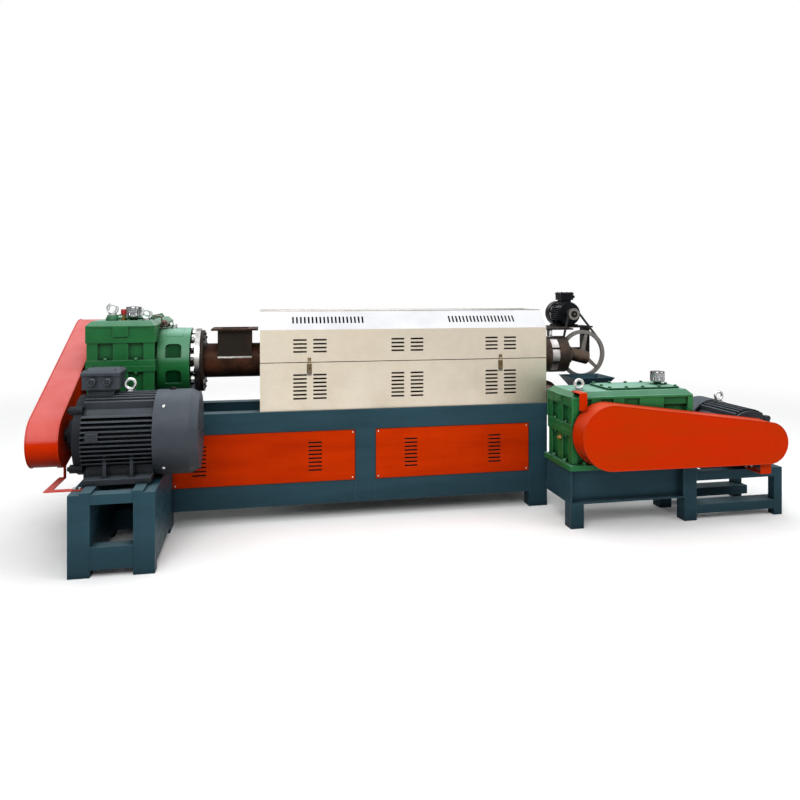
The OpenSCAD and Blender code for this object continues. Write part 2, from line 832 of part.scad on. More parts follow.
module front_panels() color(panel_paint) on_floor() {
    vent_panel(left_bay, left_vent_shares, [panel_recess, panel_recess + panel_t]);
    vent_panel(right_bay, right_vent_shares, [panel_recess, panel_recess + panel_t]);
}

module rear_panels() color(panel_paint) on_floor() {
    back = base_depth - panel_recess;
    vent_panel(left_bay, left_vent_shares, [back - panel_t, back]);
    vent_panel(right_bay, right_vent_shares, [back - panel_t, back]);
}

// Motor drive

module motor_stand() color(frame_paint) on_floor() {
    front = -stand_depth;
    inner = [stand_x0 + stand_post_w, stand_x1 - stand_post_w];
    rail_low = stand_h - stand_rail_h;
    slide_shares = [0.2, 0.8];
    union() {
        for (x = [stand_x0, inner[1]], y = [front, -stand_post_d])
            slab([x, x + stand_post_w], [y, y + stand_post_d], [0, stand_h]);
        for (y = [front, -stand_post_d]) {
            slab([stand_x0, stand_x1], [y, y + stand_post_d], [rail_low, stand_h]);
            slab([stand_x0, stand_x1], [y, y + stand_post_d], [stand_low_z, stand_low_z + stand_low_h]);
        }
        for (x = [stand_x0, inner[1]])
            slab([x, x + stand_post_w], [front, 0], [rail_low, stand_h]);
        for (x = [stand_x0, inner[0] - side_plate_t, inner[1], stand_x1 - side_plate_t])
            slab([x, x + side_plate_t], [front, 0], [stand_low_z, stand_h]);
        for (s = slide_shares) {
            mid = stand_x0 + s * stand_w;
            slab([mid - slide_w / 2, mid + slide_w / 2], [front, -stand_post_d / 2],
                [rail_low, stand_h + slide_h]);
        }
    }
}

module drive_motor_body() color(motor_paint) on_floor()
    translate([m1_body_x0, -m1_front, m1_z])
        motor_shell(m1_body_len, m1_core_r, m1_fin_r, m1_h, 5, m1_pad, m1_eye_share * m1_body_len,
            m1_feet_shares);

module drive_motor_cowl() color(motor_paint) on_floor()
    translate([m1_cowl_x0, -m1_front, m1_z]) motor_cowl(m1_cowl_len, m1_cowl_r);

module drive_motor_shield() color(motor_paint) on_floor()
    translate([m1_shield_x0, -m1_front, m1_z]) motor_shield(m1_shield_len, m1_fin_r, m1_shaft_r, m1_gap, 4);

module drive_motor_box() color(motor_paint) on_floor()
    translate([m1_body_x0 + (m1_pad[0] + m1_pad[1]) / 2, -m1_front, m1_z + m1_fin_r + box_seat])
        terminal_box(m1_box_w, m1_box_d, m1_box_h);

module drive_belt_guard() color(guard_paint) on_floor()
    prism_x([guard_x0, guard_x1]) polygon(belt_run(guard_small, guard_small_r, guard_big, guard_big_r));

module guard_bracket() color(guard_paint) on_floor() {
    under = guard_small[1] - guard_small_r - seat_gap;
    foot_y = [-stand_depth + 9 * strap_w / 4, -stand_depth + 13 * strap_w / 4];
    foot_z = [stand_h, stand_h + strap_t];
    bar_y = [guard_small[0] - strap_w / 2, guard_small[0] + strap_w / 2];
    union() {
        slab([guard_x1 - strap_w, stand_x0 + 4 * strap_w / 3], foot_y, foot_z);
        slab([guard_x1 - strap_w, guard_x1], [foot_y[0], bar_y[1]], foot_z);
        slab([guard_x1 - strap_t, guard_x1], bar_y, [stand_h, under]);
        slab([guard_x1 - strap_w, guard_x1], bar_y, [under - strap_t, under]);
    }
}

// First gearbox and thrust housing

module gearbox_lower() color(gear_paint) on_floor()
    translate([drum_x0, 0, base_h]) rotate(90) casting_low(gb_len, gb_w, gb_low_h);

module gearbox_upper() color(gear_paint) on_floor()
    translate([drum_x0, 0, axis_z]) rotate(90) casting_up(gb_len, gb_w, gb_up_h, top_band_h);

module gearbox_fittings() color(gear_paint) on_floor() {
    cover_x = [gb_x0 + cap_set, drum_x0 - cap_set];
    slab(cover_x, [gb_len / 3, gb_len - cap_set], [gb_top, gb_top + lid_plate_t]);
    translate([gb_x0 + breather_share * gb_w, gb_len / 5, gb_top]) breather(breather_r);
    translate([gb_x0 + gb_w / 3, gb_len / 8, gb_top])
        cylinder(h = eye_pad_h, r1 = eye_r + eye_pad_h / 6, r2 = eye_r);
    translate([guard_x1, gb_input_y, gb_input_z]) along_x() cylinder(h = gb_boss_t, r = gb_boss_r);
}

module lifting_eyes() color(zinc) on_floor() {
    translate([gb_x0 + gb_w / 3, gb_len / 8, gb_top + eye_pad_h]) lifting_eye(eye_r);
    translate([drum_x0 - gb_w / 6, gb_len / 8, gb_top]) lifting_eye(eye_r);
    translate([gb2_x0 + gb2_len / 9, gb2_y0 + gb2_w / 4, gb2_top]) lifting_eye(eye_r);
    translate([m1_body_x0 + m1_eye_share * m1_body_len, -m1_front, m1_z + m1_fin_r]) lifting_eye(eye_r);
    translate([m2_x, m2_body_y0 + m2_eye_share * m2_body_len, m2_z + m2_fin_r]) lifting_eye(eye_r);
}

// Pocket in the thrust housing's side, round at its upper corners
module drum_window() {
    w = window_w_share * drum_r;
    len = window_len_share * drum_len;
    deep = drum_r / 12;
    corner = window_corner_share * w;
    translate([drum_r - deep, 0, drum_len / 2]) rotate([90, 0, 90]) linear_extrude(deep + cut) union() {
        translate([corner - w / 2, -len / 2]) square([w - corner, len]);
        translate([-w / 2, corner - len / 2]) square([w, len - 2 * corner]);
        for (v = [corner - len / 2, len / 2 - corner]) translate([corner - w / 2, v]) circle(r = corner);
    }
}

module thrust_housing() color(gear_paint) on_floor()
    translate([drum_x0, axis_y, axis_z]) along_x() difference() {
        cylinder(h = drum_len, r = drum_r);
        for (side = [0, 1], i = [1:drum_windows / 2]) mirror([0, side, 0])
            rotate(180 + (i - 1 / 2) * 360 / drum_windows) drum_window();
    }

module barrel_flange() color(bare_steel) on_floor() union() {
    rod_x([drum_x1, flange_x0 + flange_t / 2], axis_y, axis_z, spigot_r);
    rod_x([flange_x0, ring_x0], axis_y, axis_z, flange_r);
}

// Feed section and barrel

module feed_barrel() color(rusty_iron) on_floor() difference() {
    union() {
        rod_x([ring_x0, feed_x0], axis_y, axis_z, feed_flange_r);
        rod_x([ring_x0, feed_x1], axis_y, axis_z, feed_r);
        slab([throat_x - throat_w / 2, throat_x + throat_w / 2],
            [axis_y - throat_w / 2, axis_y + throat_w / 2], [axis_z, throat_top]);
    }
    rod_x([feed_x0, feed_x1 + cut], axis_y, axis_z, bore_r);
    slab([throat_x - throat_inner / 2, throat_x + throat_inner / 2],
        [axis_y - throat_inner / 2, axis_y + throat_inner / 2], [axis_z, throat_top + cut]);
}

module feed_screw() color(bare_steel) on_floor()
    translate([feed_x0, axis_y, axis_z]) along_x()
        linear_extrude(screw_len, twist = -360 * screw_len / screw_pitch, slices = 36, $fn = 24) union() {
            circle(r = screw_root_r, $fn = 24);
            translate([0, -flight_t / 2]) square([flight_r, flight_t]);
        }

module feed_flange() color(rusty_iron) on_floor() difference() {
    half = throat_w / 2 + throat_flange_over;
    slab([throat_x - half, throat_x + half], [axis_y - half, axis_y + half],
        [throat_top, throat_top + throat_flange_t]);
    slab([throat_x - throat_inner / 2, throat_x + throat_inner / 2],
        [axis_y - throat_inner / 2, axis_y + throat_inner / 2],
        [throat_top - cut, throat_top + throat_flange_t + cut]);
    for (x = [-throat_hole_half, throat_hole_half], y = [-throat_hole_half, throat_hole_half])
        translate([throat_x + x, axis_y + y, throat_top - cut])
            cylinder(h = throat_flange_t + 2 * cut, r = throat_hole_r);
}

module barrel() color(rusty_iron) on_floor() rod_x([feed_x1, barrel_x1], axis_y, axis_z, barrel_r);

module heater_bands() color(bare_steel) on_floor()
    for (i = [0:bands - 1]) {
        mid = cover_x0 + band_w + i * band_span / (bands - 1);
        difference() {
            rod_x([mid - band_w / 2, mid + band_w / 2], axis_y, axis_z, barrel_r + band_t);
            rod_x([mid - band_w, mid + band_w], axis_y, axis_z, barrel_r + seat_gap);
        }
    }

// Cover

module cover_front() color(sheet_steel) on_floor() difference() {
    slab([cover_x0, 0], [cover_y0, cover_y0 + cover_t], [base_h, low_top]);
    for (s = vent_shares)
        slot_column(cover_x0 + s * cover_len, (base_h + low_top) / 2, vent_w, vent_h, vent_pitch,
            vent_rows_low, [cover_y0 - cut, cover_y0 + cover_t + cut]);
}

module cover_rear() color(sheet_steel) on_floor()
    slab([cover_x0, 0], [cover_y1 - cover_t, cover_y1], [base_h, low_top]);

module cover_ends() color(sheet_steel) on_floor()
    for (x = [cover_x0, -cover_t]) difference() {
        slab([x, x + cover_t], [cover_y0 + cover_t, cover_y1 - cover_t], [base_h, low_top]);
        rod_x([x - cut, x + cover_t + cut], axis_y, axis_z, notch_r);
    }

// Row of three knuckles on a hinge: the middle one is fixed with the pin, the outer two turn
function hinge_mid(s) = cover_x0 + s * cover_len;

module hinge_leaves() color(sheet_steel) on_floor()
    for (s = hinge_shares) {
        mid = hinge_mid(s);
        x = [mid - knuckle_w / 2, mid + knuckle_w / 2];
        union() {
            slab([mid - hinge_w / 2, mid + hinge_w / 2], [cover_y1, cover_y1 + leaf_t],
                [low_top - 3 * hinge_w / 4, low_top - 2 * knuckle_r]);
            slab(x, [cover_y1, cover_y1 + leaf_t], [low_top - hinge_w / 2, low_top]);
            slab(x, [cover_y1, hinge_y], [axis_z - 2 * knuckle_r, axis_z - knuckle_r / 2]);
            rod_x(x, hinge_y, axis_z, knuckle_r);
            rod_x([mid - hinge_w / 2, mid + hinge_w / 2], hinge_y, axis_z, hinge_pin_r);
        }
    }

module latch_levers() color(zinc) on_floor()
    for (s = latch_shares) {
        mid = cover_x0 + s * cover_len;
        x = [mid - latch_w / 2, mid + latch_w / 2];
        union() {
            slab(x, [cover_y0 - latch_t / 3, cover_y0], [low_top - latch_drop, low_top - latch_t]);
            slab([mid - latch_w / 4, mid + latch_w / 4], [cover_y0 - latch_t, cover_y0],
                [low_top - latch_drop, low_top - latch_drop / 2]);
            rod_x([mid - latch_w / 3, mid + latch_w / 3], cover_y0 - latch_t / 2, low_top - latch_drop / 3,
                latch_rod_r);
        }
    }

// Lid

module lid_front() color(sheet_steel) on_floor() difference() {
    prism_x([cover_x0, 0]) polygon([
        [cover_y0, lid_z0], [cover_y0 + cover_t, lid_z0],
        [cover_y0 + cover_t, lid_z1 - mitre], [cover_y0, lid_z1]
    ]);
    for (s = vent_shares)
        slot_column(cover_x0 + s * cover_len, (lid_z0 + lid_z1) / 2, vent_w, vent_h, vent_pitch,
            vent_rows_lid, [cover_y0 - cut, cover_y0 + cover_t + cut]);
}

module lid_rear() color(sheet_steel) on_floor() prism_x([cover_x0, 0]) polygon([
    [cover_y1, lid_z0], [cover_y1, lid_z1],
    [cover_y1 - cover_t, lid_z1 - mitre], [cover_y1 - cover_t, lid_z0]
]);

module lid_top() color(sheet_steel) on_floor() prism_x([cover_x0, 0]) polygon([
    [cover_y0 + lid_slope, lid_z2], [cover_y1 - lid_slope, lid_z2],
    [cover_y1 - lid_slope - mitre, lid_z2 - cover_t], [cover_y0 + lid_slope + mitre, lid_z2 - cover_t]
]);

module slope_sheet() prism_x([cover_x0, 0]) polygon([
    [cover_y0, lid_z1], [cover_y0 + lid_slope, lid_z2],
    [cover_y0 + lid_slope + mitre, lid_z2 - cover_t], [cover_y0 + cover_t, lid_z1 - mitre]
]);

module lid_slopes() color(sheet_steel) on_floor() {
    difference() {
        slope_sheet();
        for (s = slope_vent_shares, i = [0:slope_slots - 1])
            translate([cover_x0 + s * cover_len + (i - (slope_slots - 1) / 2) * vent_pitch,
                cover_y0 + lid_slope / 2, lid_z1 + lid_slope / 2])
                rotate([45, 0, 0])
                    translate([-vent_h / 2, -slope_slot_len / 2, -cut])
                        cube([vent_h, slope_slot_len, 2 * cut]);
    }
    translate([0, 2 * axis_mid, 0]) mirror([0, 1, 0]) slope_sheet();
}

module lid_ends() color(sheet_steel) on_floor()
    for (x = [cover_x0, -cover_t]) difference() {
        prism_x([x, x + cover_t]) polygon([
            [cover_y0 + cover_t, lid_z0], [cover_y1 - cover_t, lid_z0],
            [cover_y1 - cover_t, lid_z1 - mitre], [cover_y1 - lid_slope - mitre, lid_z2 - cover_t],
            [cover_y0 + lid_slope + mitre, lid_z2 - cover_t], [cover_y0 + cover_t, lid_z1 - mitre]
        ]);
        rod_x([x - cut, x + cover_t + cut], axis_y, axis_z, notch_r);
    }

// Turning halves of the hinges and the latch hooks, all on the lid
module lid_fittings() color(zinc) on_floor() {
    for (s = hinge_shares, side = [-1, 1]) {
        mid = hinge_mid(s) + side * (knuckle_w + knuckle_gap);
        x = [mid - knuckle_w / 2 + knuckle_gap, mid + knuckle_w / 2 - knuckle_gap];
        difference() {
            union() {
                slab(x, [cover_y1, cover_y1 + leaf_t], [lid_z0, lid_z0 + 3 * hinge_w / 4]);
                slab(x, [cover_y1, hinge_y], [lid_z0, axis_z + 2 * knuckle_r]);
                rod_x(x, hinge_y, axis_z, knuckle_r);
            }
            rod_x([x[0] - cut, x[1] + cut], hinge_y, axis_z, hinge_pin_r + run_gap);
        }
    }
    for (s = latch_shares) {
        mid = cover_x0 + s * cover_len;
        slab([mid - latch_w / 3, mid + latch_w / 3], [cover_y0 - latch_t / 2, cover_y0],
            [lid_z0 + latch_t, lid_z0 + keeper_h]);
    }
}

// Die head and screen changer

module die_head() color(rusty_iron) on_floor() {
    rod_x([head_x0, screen_x0], axis_y, axis_z, head_r);
    rod_x([head_flange_x0, spout_x0], axis_y, axis_z, head_r);
}

module screen_plate() color(bare_steel) on_floor()
    rod_x([screen_x0, head_flange_x0], axis_y, axis_z, head_r - post_r / 4);

module discharge_spout() color(rusty_iron) on_floor() translate([spout_x0, axis_y, axis_z]) union() {
    along_x() cylinder(h = spout_neck, r1 = spout_root_r, r2 = spout_r + spout_collar);
    translate([spout_neck - spout_r / 4, 0, 0]) rotate([0, 90 + spout_tilt, 0]) difference() {
        cylinder(h = spout_len, r = spout_r);
        translate([0, 0, spout_len / 2]) cylinder(h = spout_len, r = nozzle_r);
    }
}

// Bracket behind the wheel, with the plate that carries the changer motor and the wheel's shaft
module changer_bracket() color(cast_grey) on_floor() union() {
    slab([spout_x0, spout_x0 + arm_plate_t], [axis_y + head_r - arm_seat, arm_y1],
        [wheel_z - arm_half, wheel_z + arm_half]);
    slab([spout_x0, arm_x1], [arm_y0, arm_y1], [wheel_z - arm_half, wheel_z + arm_half]);
    slab([arm_x1 - bracket_arm, arm_x1], [arm_y0, arm_y1], [wheel_z, plate_top]);
    slab([plate_x0, plate_x1], [arm_y0, plate_back], [plate_z, plate_top]);
    slab([plate_x0, tongue_x1], [plate_front, plate_back], [plate_z, plate_top]);
    translate([plate_x0 + screen_t / 2, axis_y, axis_z + head_r + seat_gap])
        cylinder(h = plate_top - axis_z - head_r - seat_gap, r = post_r);
    rod_y(wheel_x, [wheel_y - wheel_w, arm_y0 + bracket_arm / 2], wheel_z, wheel_shaft_r);
}

module grooved_rim(r, w, inner) rotate_extrude() polygon([
    [inner, -w / 2], [r, -w / 2], [r, -groove_half - groove_d / 4], [r - groove_d, -groove_half],
    [r - groove_d, groove_half], [r, groove_half + groove_d / 4], [r, w / 2], [inner, w / 2]
]);

module changer_wheel() color(cast_grey) on_floor()
translate([wheel_x, wheel_y, wheel_z]) along_y() difference() {
    arm_angles = [78, 198, 318];
    union() {
        grooved_rim(wheel_r, wheel_w, wheel_r - rim_t);
        for (a = arm_angles) rotate(-a) linear_extrude(wheel_w / 2, center = true) polygon([
            [0, wheel_hub_r / 2], [wheel_r - rim_t + rim_t / 8, wheel_hub_r / 3],
            [wheel_r - rim_t + rim_t / 8, -wheel_hub_r / 3], [0, -wheel_hub_r / 2]
        ]);
        translate([0, 0, -wheel_w / 2 - hub_gap]) cylinder(h = wheel_w + 2 * hub_gap, r = wheel_hub_r);
    }
    translate([0, 0, -wheel_w]) cylinder(h = 2 * wheel_w, r = wheel_shaft_r + run_gap);
}

module motor_pulley() color(cast_grey) on_floor() translate([m3_x, wheel_y, m3_z]) along_y() difference() {
    union() {
        grooved_rim(pulley_r, wheel_w, 0);
        cylinder(h = wheel_w / 2 + hub_gap, r = pulley_hub_r);
    }
    translate([0, 0, -wheel_w]) cylinder(h = 3 * wheel_w, r = m3_shaft_r + run_gap);
}

module changer_belt() color(black_rubber) on_floor()
    prism_y([wheel_y - belt_w / 2, wheel_y + belt_w / 2]) difference() {
        polygon(belt_run([m3_x, m3_z], belt_pulley_r + belt_t, [wheel_x, wheel_z], belt_wheel_r + belt_t));
        polygon(belt_run([m3_x, m3_z], belt_pulley_r, [wheel_x, wheel_z], belt_wheel_r));
    }

module changer_motor() color(motor_paint) on_floor()
translate([m3_x, m3_body_y0, m3_z]) rotate(90) union() {
    motor_shell(m3_body_len, m3_core_r, m3_fin_r, m3_h, 3, m3_pad, 0, feet_shares);
    translate([-m3_shield_len, 0, 0])
        motor_shield(m3_shield_len, m3_fin_r, m3_shaft_r, m3_shield_y0 - wheel_y + wheel_w / 2, 0);
    translate([m3_body_len, 0, 0]) motor_cowl(m3_cowl_len, m3_cowl_r);
}

module changer_motor_box() color(motor_paint) on_floor()
    translate([m3_x, m3_body_y0 + (m3_pad[0] + m3_pad[1]) / 2, m3_z + m3_fin_r + m3_box_seat])
        rotate(90) terminal_box(m3_box_w, m3_box_w, m3_box_h);

// Second stage

module beam_outline(h) union() {
    slab_2d([0, beam_flange], [0, beam_t]);
    slab_2d([0, beam_flange], [h - beam_t, h]);
    slab_2d([beam_flange - beam_t, beam_flange], [0, h]);
}

module slab_2d(x, y) translate([x[0], y[0]]) square([x[1] - x[0], y[1] - y[0]]);

module stage2_beams() color(frame_paint) on_floor() union() {
    prism_x([stage2_x0, beam_x1 - leg_w]) translate([beam_y0, beam_z0]) beam_outline(beam_h);
    translate([0, beam_y0 + beam_y1, 0]) mirror([0, 1, 0])
        prism_x([stage2_x0, beam_x1 - leg_w]) translate([beam_y0, beam_z0]) beam_outline(beam_h);
    for (x = [stage2_x0, beam_x1 - leg_w - beam_t])
        slab([x, x + beam_t], [beam_y0, beam_y1], [beam_z0, beam_top]);
}

module stage2_legs() color(frame_paint) on_floor() {
    slab([stage2_x0, stage2_x0 + leg_w], [beam_y0, beam_y0 + leg_w], [0, beam_z0]);
    for (y = [beam_y0, beam_y1 - leg_w])
        slab([beam_x1 - leg_w, beam_x1], [y, y + leg_w], [0, beam_top]);
}

module stage2_motor_stand() color(frame_paint) on_floor() {
    x = [beam_x1, m2_stand_x1];
    y = [beam_y0, m2_stand_y1];
    slide_shares = [0.15, 0.85];
    feet_span = (feet_shares[1] - feet_shares[0]) * m2_body_len;
    union() {
        for (q = [y[0], y[1] - m2_bar]) {
            slab([x[1] - m2_bar, x[1]], [q, q + m2_bar], [0, m2_stand_h]);
            slab(x, [q, q + m2_bar], [m2_stand_h - m2_bar, m2_stand_h]);
        }
        for (q = [y[0], y[1] - 2 * m2_bar])
            slab(x, [q, q + 2 * m2_bar], [m2_low_z, m2_low_z + m2_bar]);
        for (p = [x[0], x[1] - m2_bar]) slab([p, p + m2_bar], y, [m2_stand_h - m2_bar, m2_stand_h]);
        for (s = slide_shares) {
            mid = m2_feet_y - feet_span / 2 + s * feet_span;
            slab([m2_x - m2_h, x[1]], [mid - m2_bar / 2, mid + m2_bar / 2],
                [m2_stand_h - m2_bar / 2, m2_stand_h + m2_slide_h]);
        }
        slab([m2_x - m2_h, m2_x - m2_h + m2_bar], y, [m2_stand_h - m2_bar, m2_stand_h]);
    }
}

module stage2_gearbox_lower() color(gear_paint) on_floor()
    translate([gb2_x0, gb2_y0, beam_top]) casting_low(gb2_len, gb2_w, gb2_low_h);

module stage2_gearbox_upper() color(gear_paint) on_floor()
    translate([gb2_x0, gb2_y0, gb2_axis_z]) casting_up(gb2_len, gb2_w, gb2_up_h, top_band2_h);

module stage2_fittings() color(gear_paint) on_floor() {
    slab([gb2_x0 + gb2_len / 3, gb2_x0 + gb2_len - cap_set], [gb2_y0 + cap_set, gb2_y1 - cap_set],
        [gb2_top, gb2_top + lid_plate_t]);
    translate([gb2_x0 + breather2_share * gb2_len, gb2_y0 + gb2_w / 2, gb2_top + lid_plate_t])
        breather(breather_r);
    rod_y(gb2_input_place, [guard2_y1, gb2_y0], gb2_axis_z, gb2_boss_r);
}

module stage2_belt_guard() color(guard_paint) on_floor()
    prism_y([guard2_y0, guard2_y1])
        polygon(belt_run(guard2_big, guard2_big_r, guard2_small, guard2_small_r));

module stage2_guard_straps() color(guard_paint) on_floor() {
    strap_x = gb2_x0 + gb2_len / 18;
    half = 2 * strap_w / 3;
    lean = abs(strap_x - guard2_big[0]) - half;
    top_z = guard2_big[1] + sqrt(guard2_big_r * guard2_big_r - lean * lean) + seat_gap;
    under = guard2_small[1] - guard2_small_r - seat_gap;
    foot_x = [m2_x - strap_w, m2_x + strap_w];
    y = [guard2_y1 - strap_w, guard2_y1 - strap_w + strap_t];
    union() {
        slab([strap_x - half, strap_x + half], y, [top_z, gb2_top + strap_t]);
        slab([strap_x - half, strap_x + half], [y[0], gb2_y0 + top_bevel + strap_w / 2],
            [gb2_top, gb2_top + strap_t]);
    }
    union() {
        slab(foot_x, [guard2_y0 + strap_w, beam_y0 + m2_bar], [m2_stand_h, m2_stand_h + strap_t]);
        slab(foot_x, [guard2_y0 + strap_w, guard2_y0 + strap_w + strap_t], [m2_stand_h, under]);
    }
}

module stage2_motor_body() color(motor_paint) on_floor()
    translate([m2_x, m2_body_y0, m2_z]) rotate(90)
        motor_shell(m2_body_len, m2_core_r, m2_fin_r, m2_h, 4, [0, 0], m2_eye_share * m2_body_len,
            feet_shares);

module stage2_motor_cowl() color(motor_paint) on_floor()
    translate([m2_x, m2_cowl_y0, m2_z]) rotate(90) motor_cowl(m2_cowl_len, m2_cowl_r);

module stage2_motor_shield() color(motor_paint) on_floor()
    translate([m2_x, m2_shield_y0, m2_z]) rotate(90)
        motor_shield(m2_shield_len, m2_fin_r, m2_shaft_r, m2_gap, 4);

module stage2_barrel() color(rusty_iron) on_floor() difference() {
    union() {
        rod_y(barrel2_x, [gb2_y1, barrel2_y1], barrel2_z, barrel2_r);
        rod_y(barrel2_x, [gb2_y1, gb2_y1 + die2_t], barrel2_z, die2_r + die2_t);
        rod_y(barrel2_x, [barrel2_y1, barrel2_y1 + die2_t], barrel2_z, die2_r);
        slab([barrel2_x - neck2_half, barrel2_x + neck2_half], [hopper_y - neck2_half, hopper_y + neck2_half],
            [barrel2_z, hopper_z0]);
    }
    slab([barrel2_x - neck2_half + hopper_wall, barrel2_x + neck2_half - hopper_wall],
        [hopper_y - neck2_half + hopper_wall, hopper_y + neck2_half - hopper_wall],
        [barrel2_z + barrel2_r / 2, hopper_z0 + cut]);
}

// Square funnel: outer and inner walls drawn as two tapered solids
module funnel(foot, mouth, z) {
    side = hopper_side_share * mouth;
    hull() {
        translate([-foot, -foot, z[0]]) cube([2 * foot, 2 * foot, seat_gap]);
        translate([-mouth, -side, z[1] - seat_gap]) cube([2 * mouth, 2 * side, seat_gap]);
    }
}

module stage2_hopper() color(frame_paint) on_floor() translate([barrel2_x, hopper_y, 0]) difference() {
    union() {
        slab([-hopper_foot_half, hopper_foot_half], [-hopper_foot_half, hopper_foot_half],
            [hopper_z0, hopper_z0 + hopper_flange_t]);
        funnel(neck2_half, hopper_half, [hopper_z0, hopper_z1]);
    }
    funnel(neck2_half - hopper_wall, hopper_half - hopper_wall,
        [hopper_z0 - seat_gap, hopper_z1 + seat_gap]);
}

module stage2_barrel_stand() color(frame_paint) on_floor() {
    top = barrel2_z - barrel2_r - seat_gap;
    y = [stand2_y, stand2_y + stand2_bar];
    union() {
        slab([barrel2_x - stand2_half, barrel2_x + stand2_half], y, [top - stand2_bar, top]);
        for (x = [barrel2_x - stand2_half, barrel2_x + stand2_half - stand2_bar])
            slab([x, x + stand2_bar], y, [0, top]);
        slab([barrel2_x - stand2_half, barrel2_x + stand2_half], y, [m2_low_z, m2_low_z + stand2_bar]);
    }
}

frame_posts();
frame_top();
frame_bottom();
gearbox_bed();
front_panels();
rear_panels();
motor_stand();
drive_motor_body();
drive_motor_cowl();
drive_motor_shield();
drive_motor_box();
drive_belt_guard();
guard_bracket();
gearbox_lower();
gearbox_upper();
gearbox_fittings();
lifting_eyes();
thrust_housing();
barrel_flange();
feed_barrel();
feed_screw();
feed_flange();
barrel();
heater_bands();
cover_front();
cover_rear();
cover_ends();
hinge_leaves();
latch_levers();
die_head();
screen_plate();
discharge_spout();
changer_bracket();
changer_motor();
changer_motor_box();
changer_belt();
stage2_beams();
stage2_legs();
stage2_motor_stand();
stage2_gearbox_lower();
stage2_gearbox_upper();
stage2_fittings();
stage2_belt_guard();
stage2_guard_straps();
stage2_motor_body();
stage2_motor_cowl();
stage2_motor_shield();
stage2_barrel();
stage2_hopper();
stage2_barrel_stand();
lid_front();
lid_slopes();
lid_top();
lid_rear();
lid_ends();
lid_fittings();
changer_wheel();
motor_pulley();
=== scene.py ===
import math

import bmesh
import bpy
import numpy as np
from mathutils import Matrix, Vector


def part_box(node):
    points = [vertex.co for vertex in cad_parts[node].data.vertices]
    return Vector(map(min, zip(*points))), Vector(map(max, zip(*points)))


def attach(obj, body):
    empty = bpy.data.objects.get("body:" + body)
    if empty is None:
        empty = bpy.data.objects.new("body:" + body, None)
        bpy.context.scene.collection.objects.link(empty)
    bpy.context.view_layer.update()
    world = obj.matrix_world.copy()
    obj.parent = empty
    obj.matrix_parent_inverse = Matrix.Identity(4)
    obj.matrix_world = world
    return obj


# Plastic recycling granulator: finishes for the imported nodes, and the small parts that sit on them.
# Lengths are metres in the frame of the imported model.

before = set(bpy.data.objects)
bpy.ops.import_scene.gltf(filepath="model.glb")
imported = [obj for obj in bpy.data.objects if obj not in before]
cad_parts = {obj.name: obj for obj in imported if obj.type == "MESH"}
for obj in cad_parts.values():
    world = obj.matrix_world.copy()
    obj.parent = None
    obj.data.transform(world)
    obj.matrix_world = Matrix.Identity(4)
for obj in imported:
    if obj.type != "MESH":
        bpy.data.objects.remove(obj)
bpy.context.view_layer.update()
scene = bpy.context.scene


# Reading places off the frame

# Low and high corner of a node's box
def nodeBox(node):
    low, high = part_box(node)
    return np.array(low), np.array(high)


# All of a node's corners as rows
def nodePoints(node):
    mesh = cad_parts[node].data
    flat = np.empty(len(mesh.vertices) * 3, np.float32)
    mesh.vertices.foreach_get("co", flat)
    return flat.reshape(-1, 3).astype(float)


# Distinct places of a node's corners along one axis, to a tenth of a millimetre
def nodeEdges(node, axis):
    return np.unique(np.round(nodePoints(node)[:, axis], 4))


# Low and high corner of what a node has at one height
def levelBox(node, z):
    level = nodePoints(node)
    level = level[np.abs(level[:, 2] - z) < 0.0005]
    return level.min(0), level.max(0)


# Middle of what a node has at its highest place
def topCentre(node):
    low, high = levelBox(node, nodeBox(node)[1][2])
    return 0.5 * (low + high)


# All combinations of the places given for x, y and z, as rows of points
def places(x, y, z):
    return np.stack(np.meshgrid(x, y, z, indexing="ij"), -1).reshape(-1, 3).astype(float)


# Surfaces worked out on a grid of rows and columns

# Even angles round a full turn
def fullTurn(sides):
    return np.linspace(0, 2 * math.pi, sides, endpoint=False)


# Rings about z: x = r cos a, y = r sin a, z = the row's height
def rings(radius, height, angle):
    x = radius * np.cos(angle)
    y = radius * np.sin(angle)
    return np.stack([x, y, np.broadcast_to(height[:, None], x.shape)], -1)


# Turned shape: each (radius, height) of the profile goes round z
def turned(profile, sides=24):
    radius, height = np.array(profile, float).T
    return rings(radius[:, None], height, fullTurn(sides))


# Six-sided shape: as turned, but a row's radius is divided by the cosine of the angle folded into
# 30 degrees each way, as far as the row's flat share says
def hexagon(profile, sides=12):
    radius, height, flat = np.array(profile, float).T
    angle = fullTurn(sides)
    fold = (angle + math.pi / 6) % (math.pi / 3) - math.pi / 6
    return rings(radius[:, None] * (1 + flat[:, None] * (1 / np.cos(fold) - 1)), height, angle)


# Knurled shape: as turned, but each row's radius is cut back by its depth times a cosine of the angle
def knurled(profile, teeth, sides):
    radius, height, depth = np.array(profile, float).T
    angle = fullTurn(sides)
    return rings(radius[:, None] - depth[:, None] * (0.5 + 0.5 * np.cos(teeth * angle)), height, angle)


# Block with rounded corners: a superellipse outline, x = w/2 |cos a|^p, y = d/2 |sin a|^p with signs,
# drawn in at each row of (share of the outline, height)
def block(width, depth, rows, power=0.3, sides=32):
    share, height = np.array(rows, float).T
    angle = fullTurn(sides) + math.pi / sides
    x = share[:, None] * (width / 2 * np.sign(np.cos(angle)) * np.abs(np.cos(angle)) ** power)
    y = share[:, None] * (depth / 2 * np.sign(np.sin(angle)) * np.abs(np.sin(angle)) ** power)
    return np.stack([x, y, np.broadcast_to(height[:, None], x.shape)], -1)


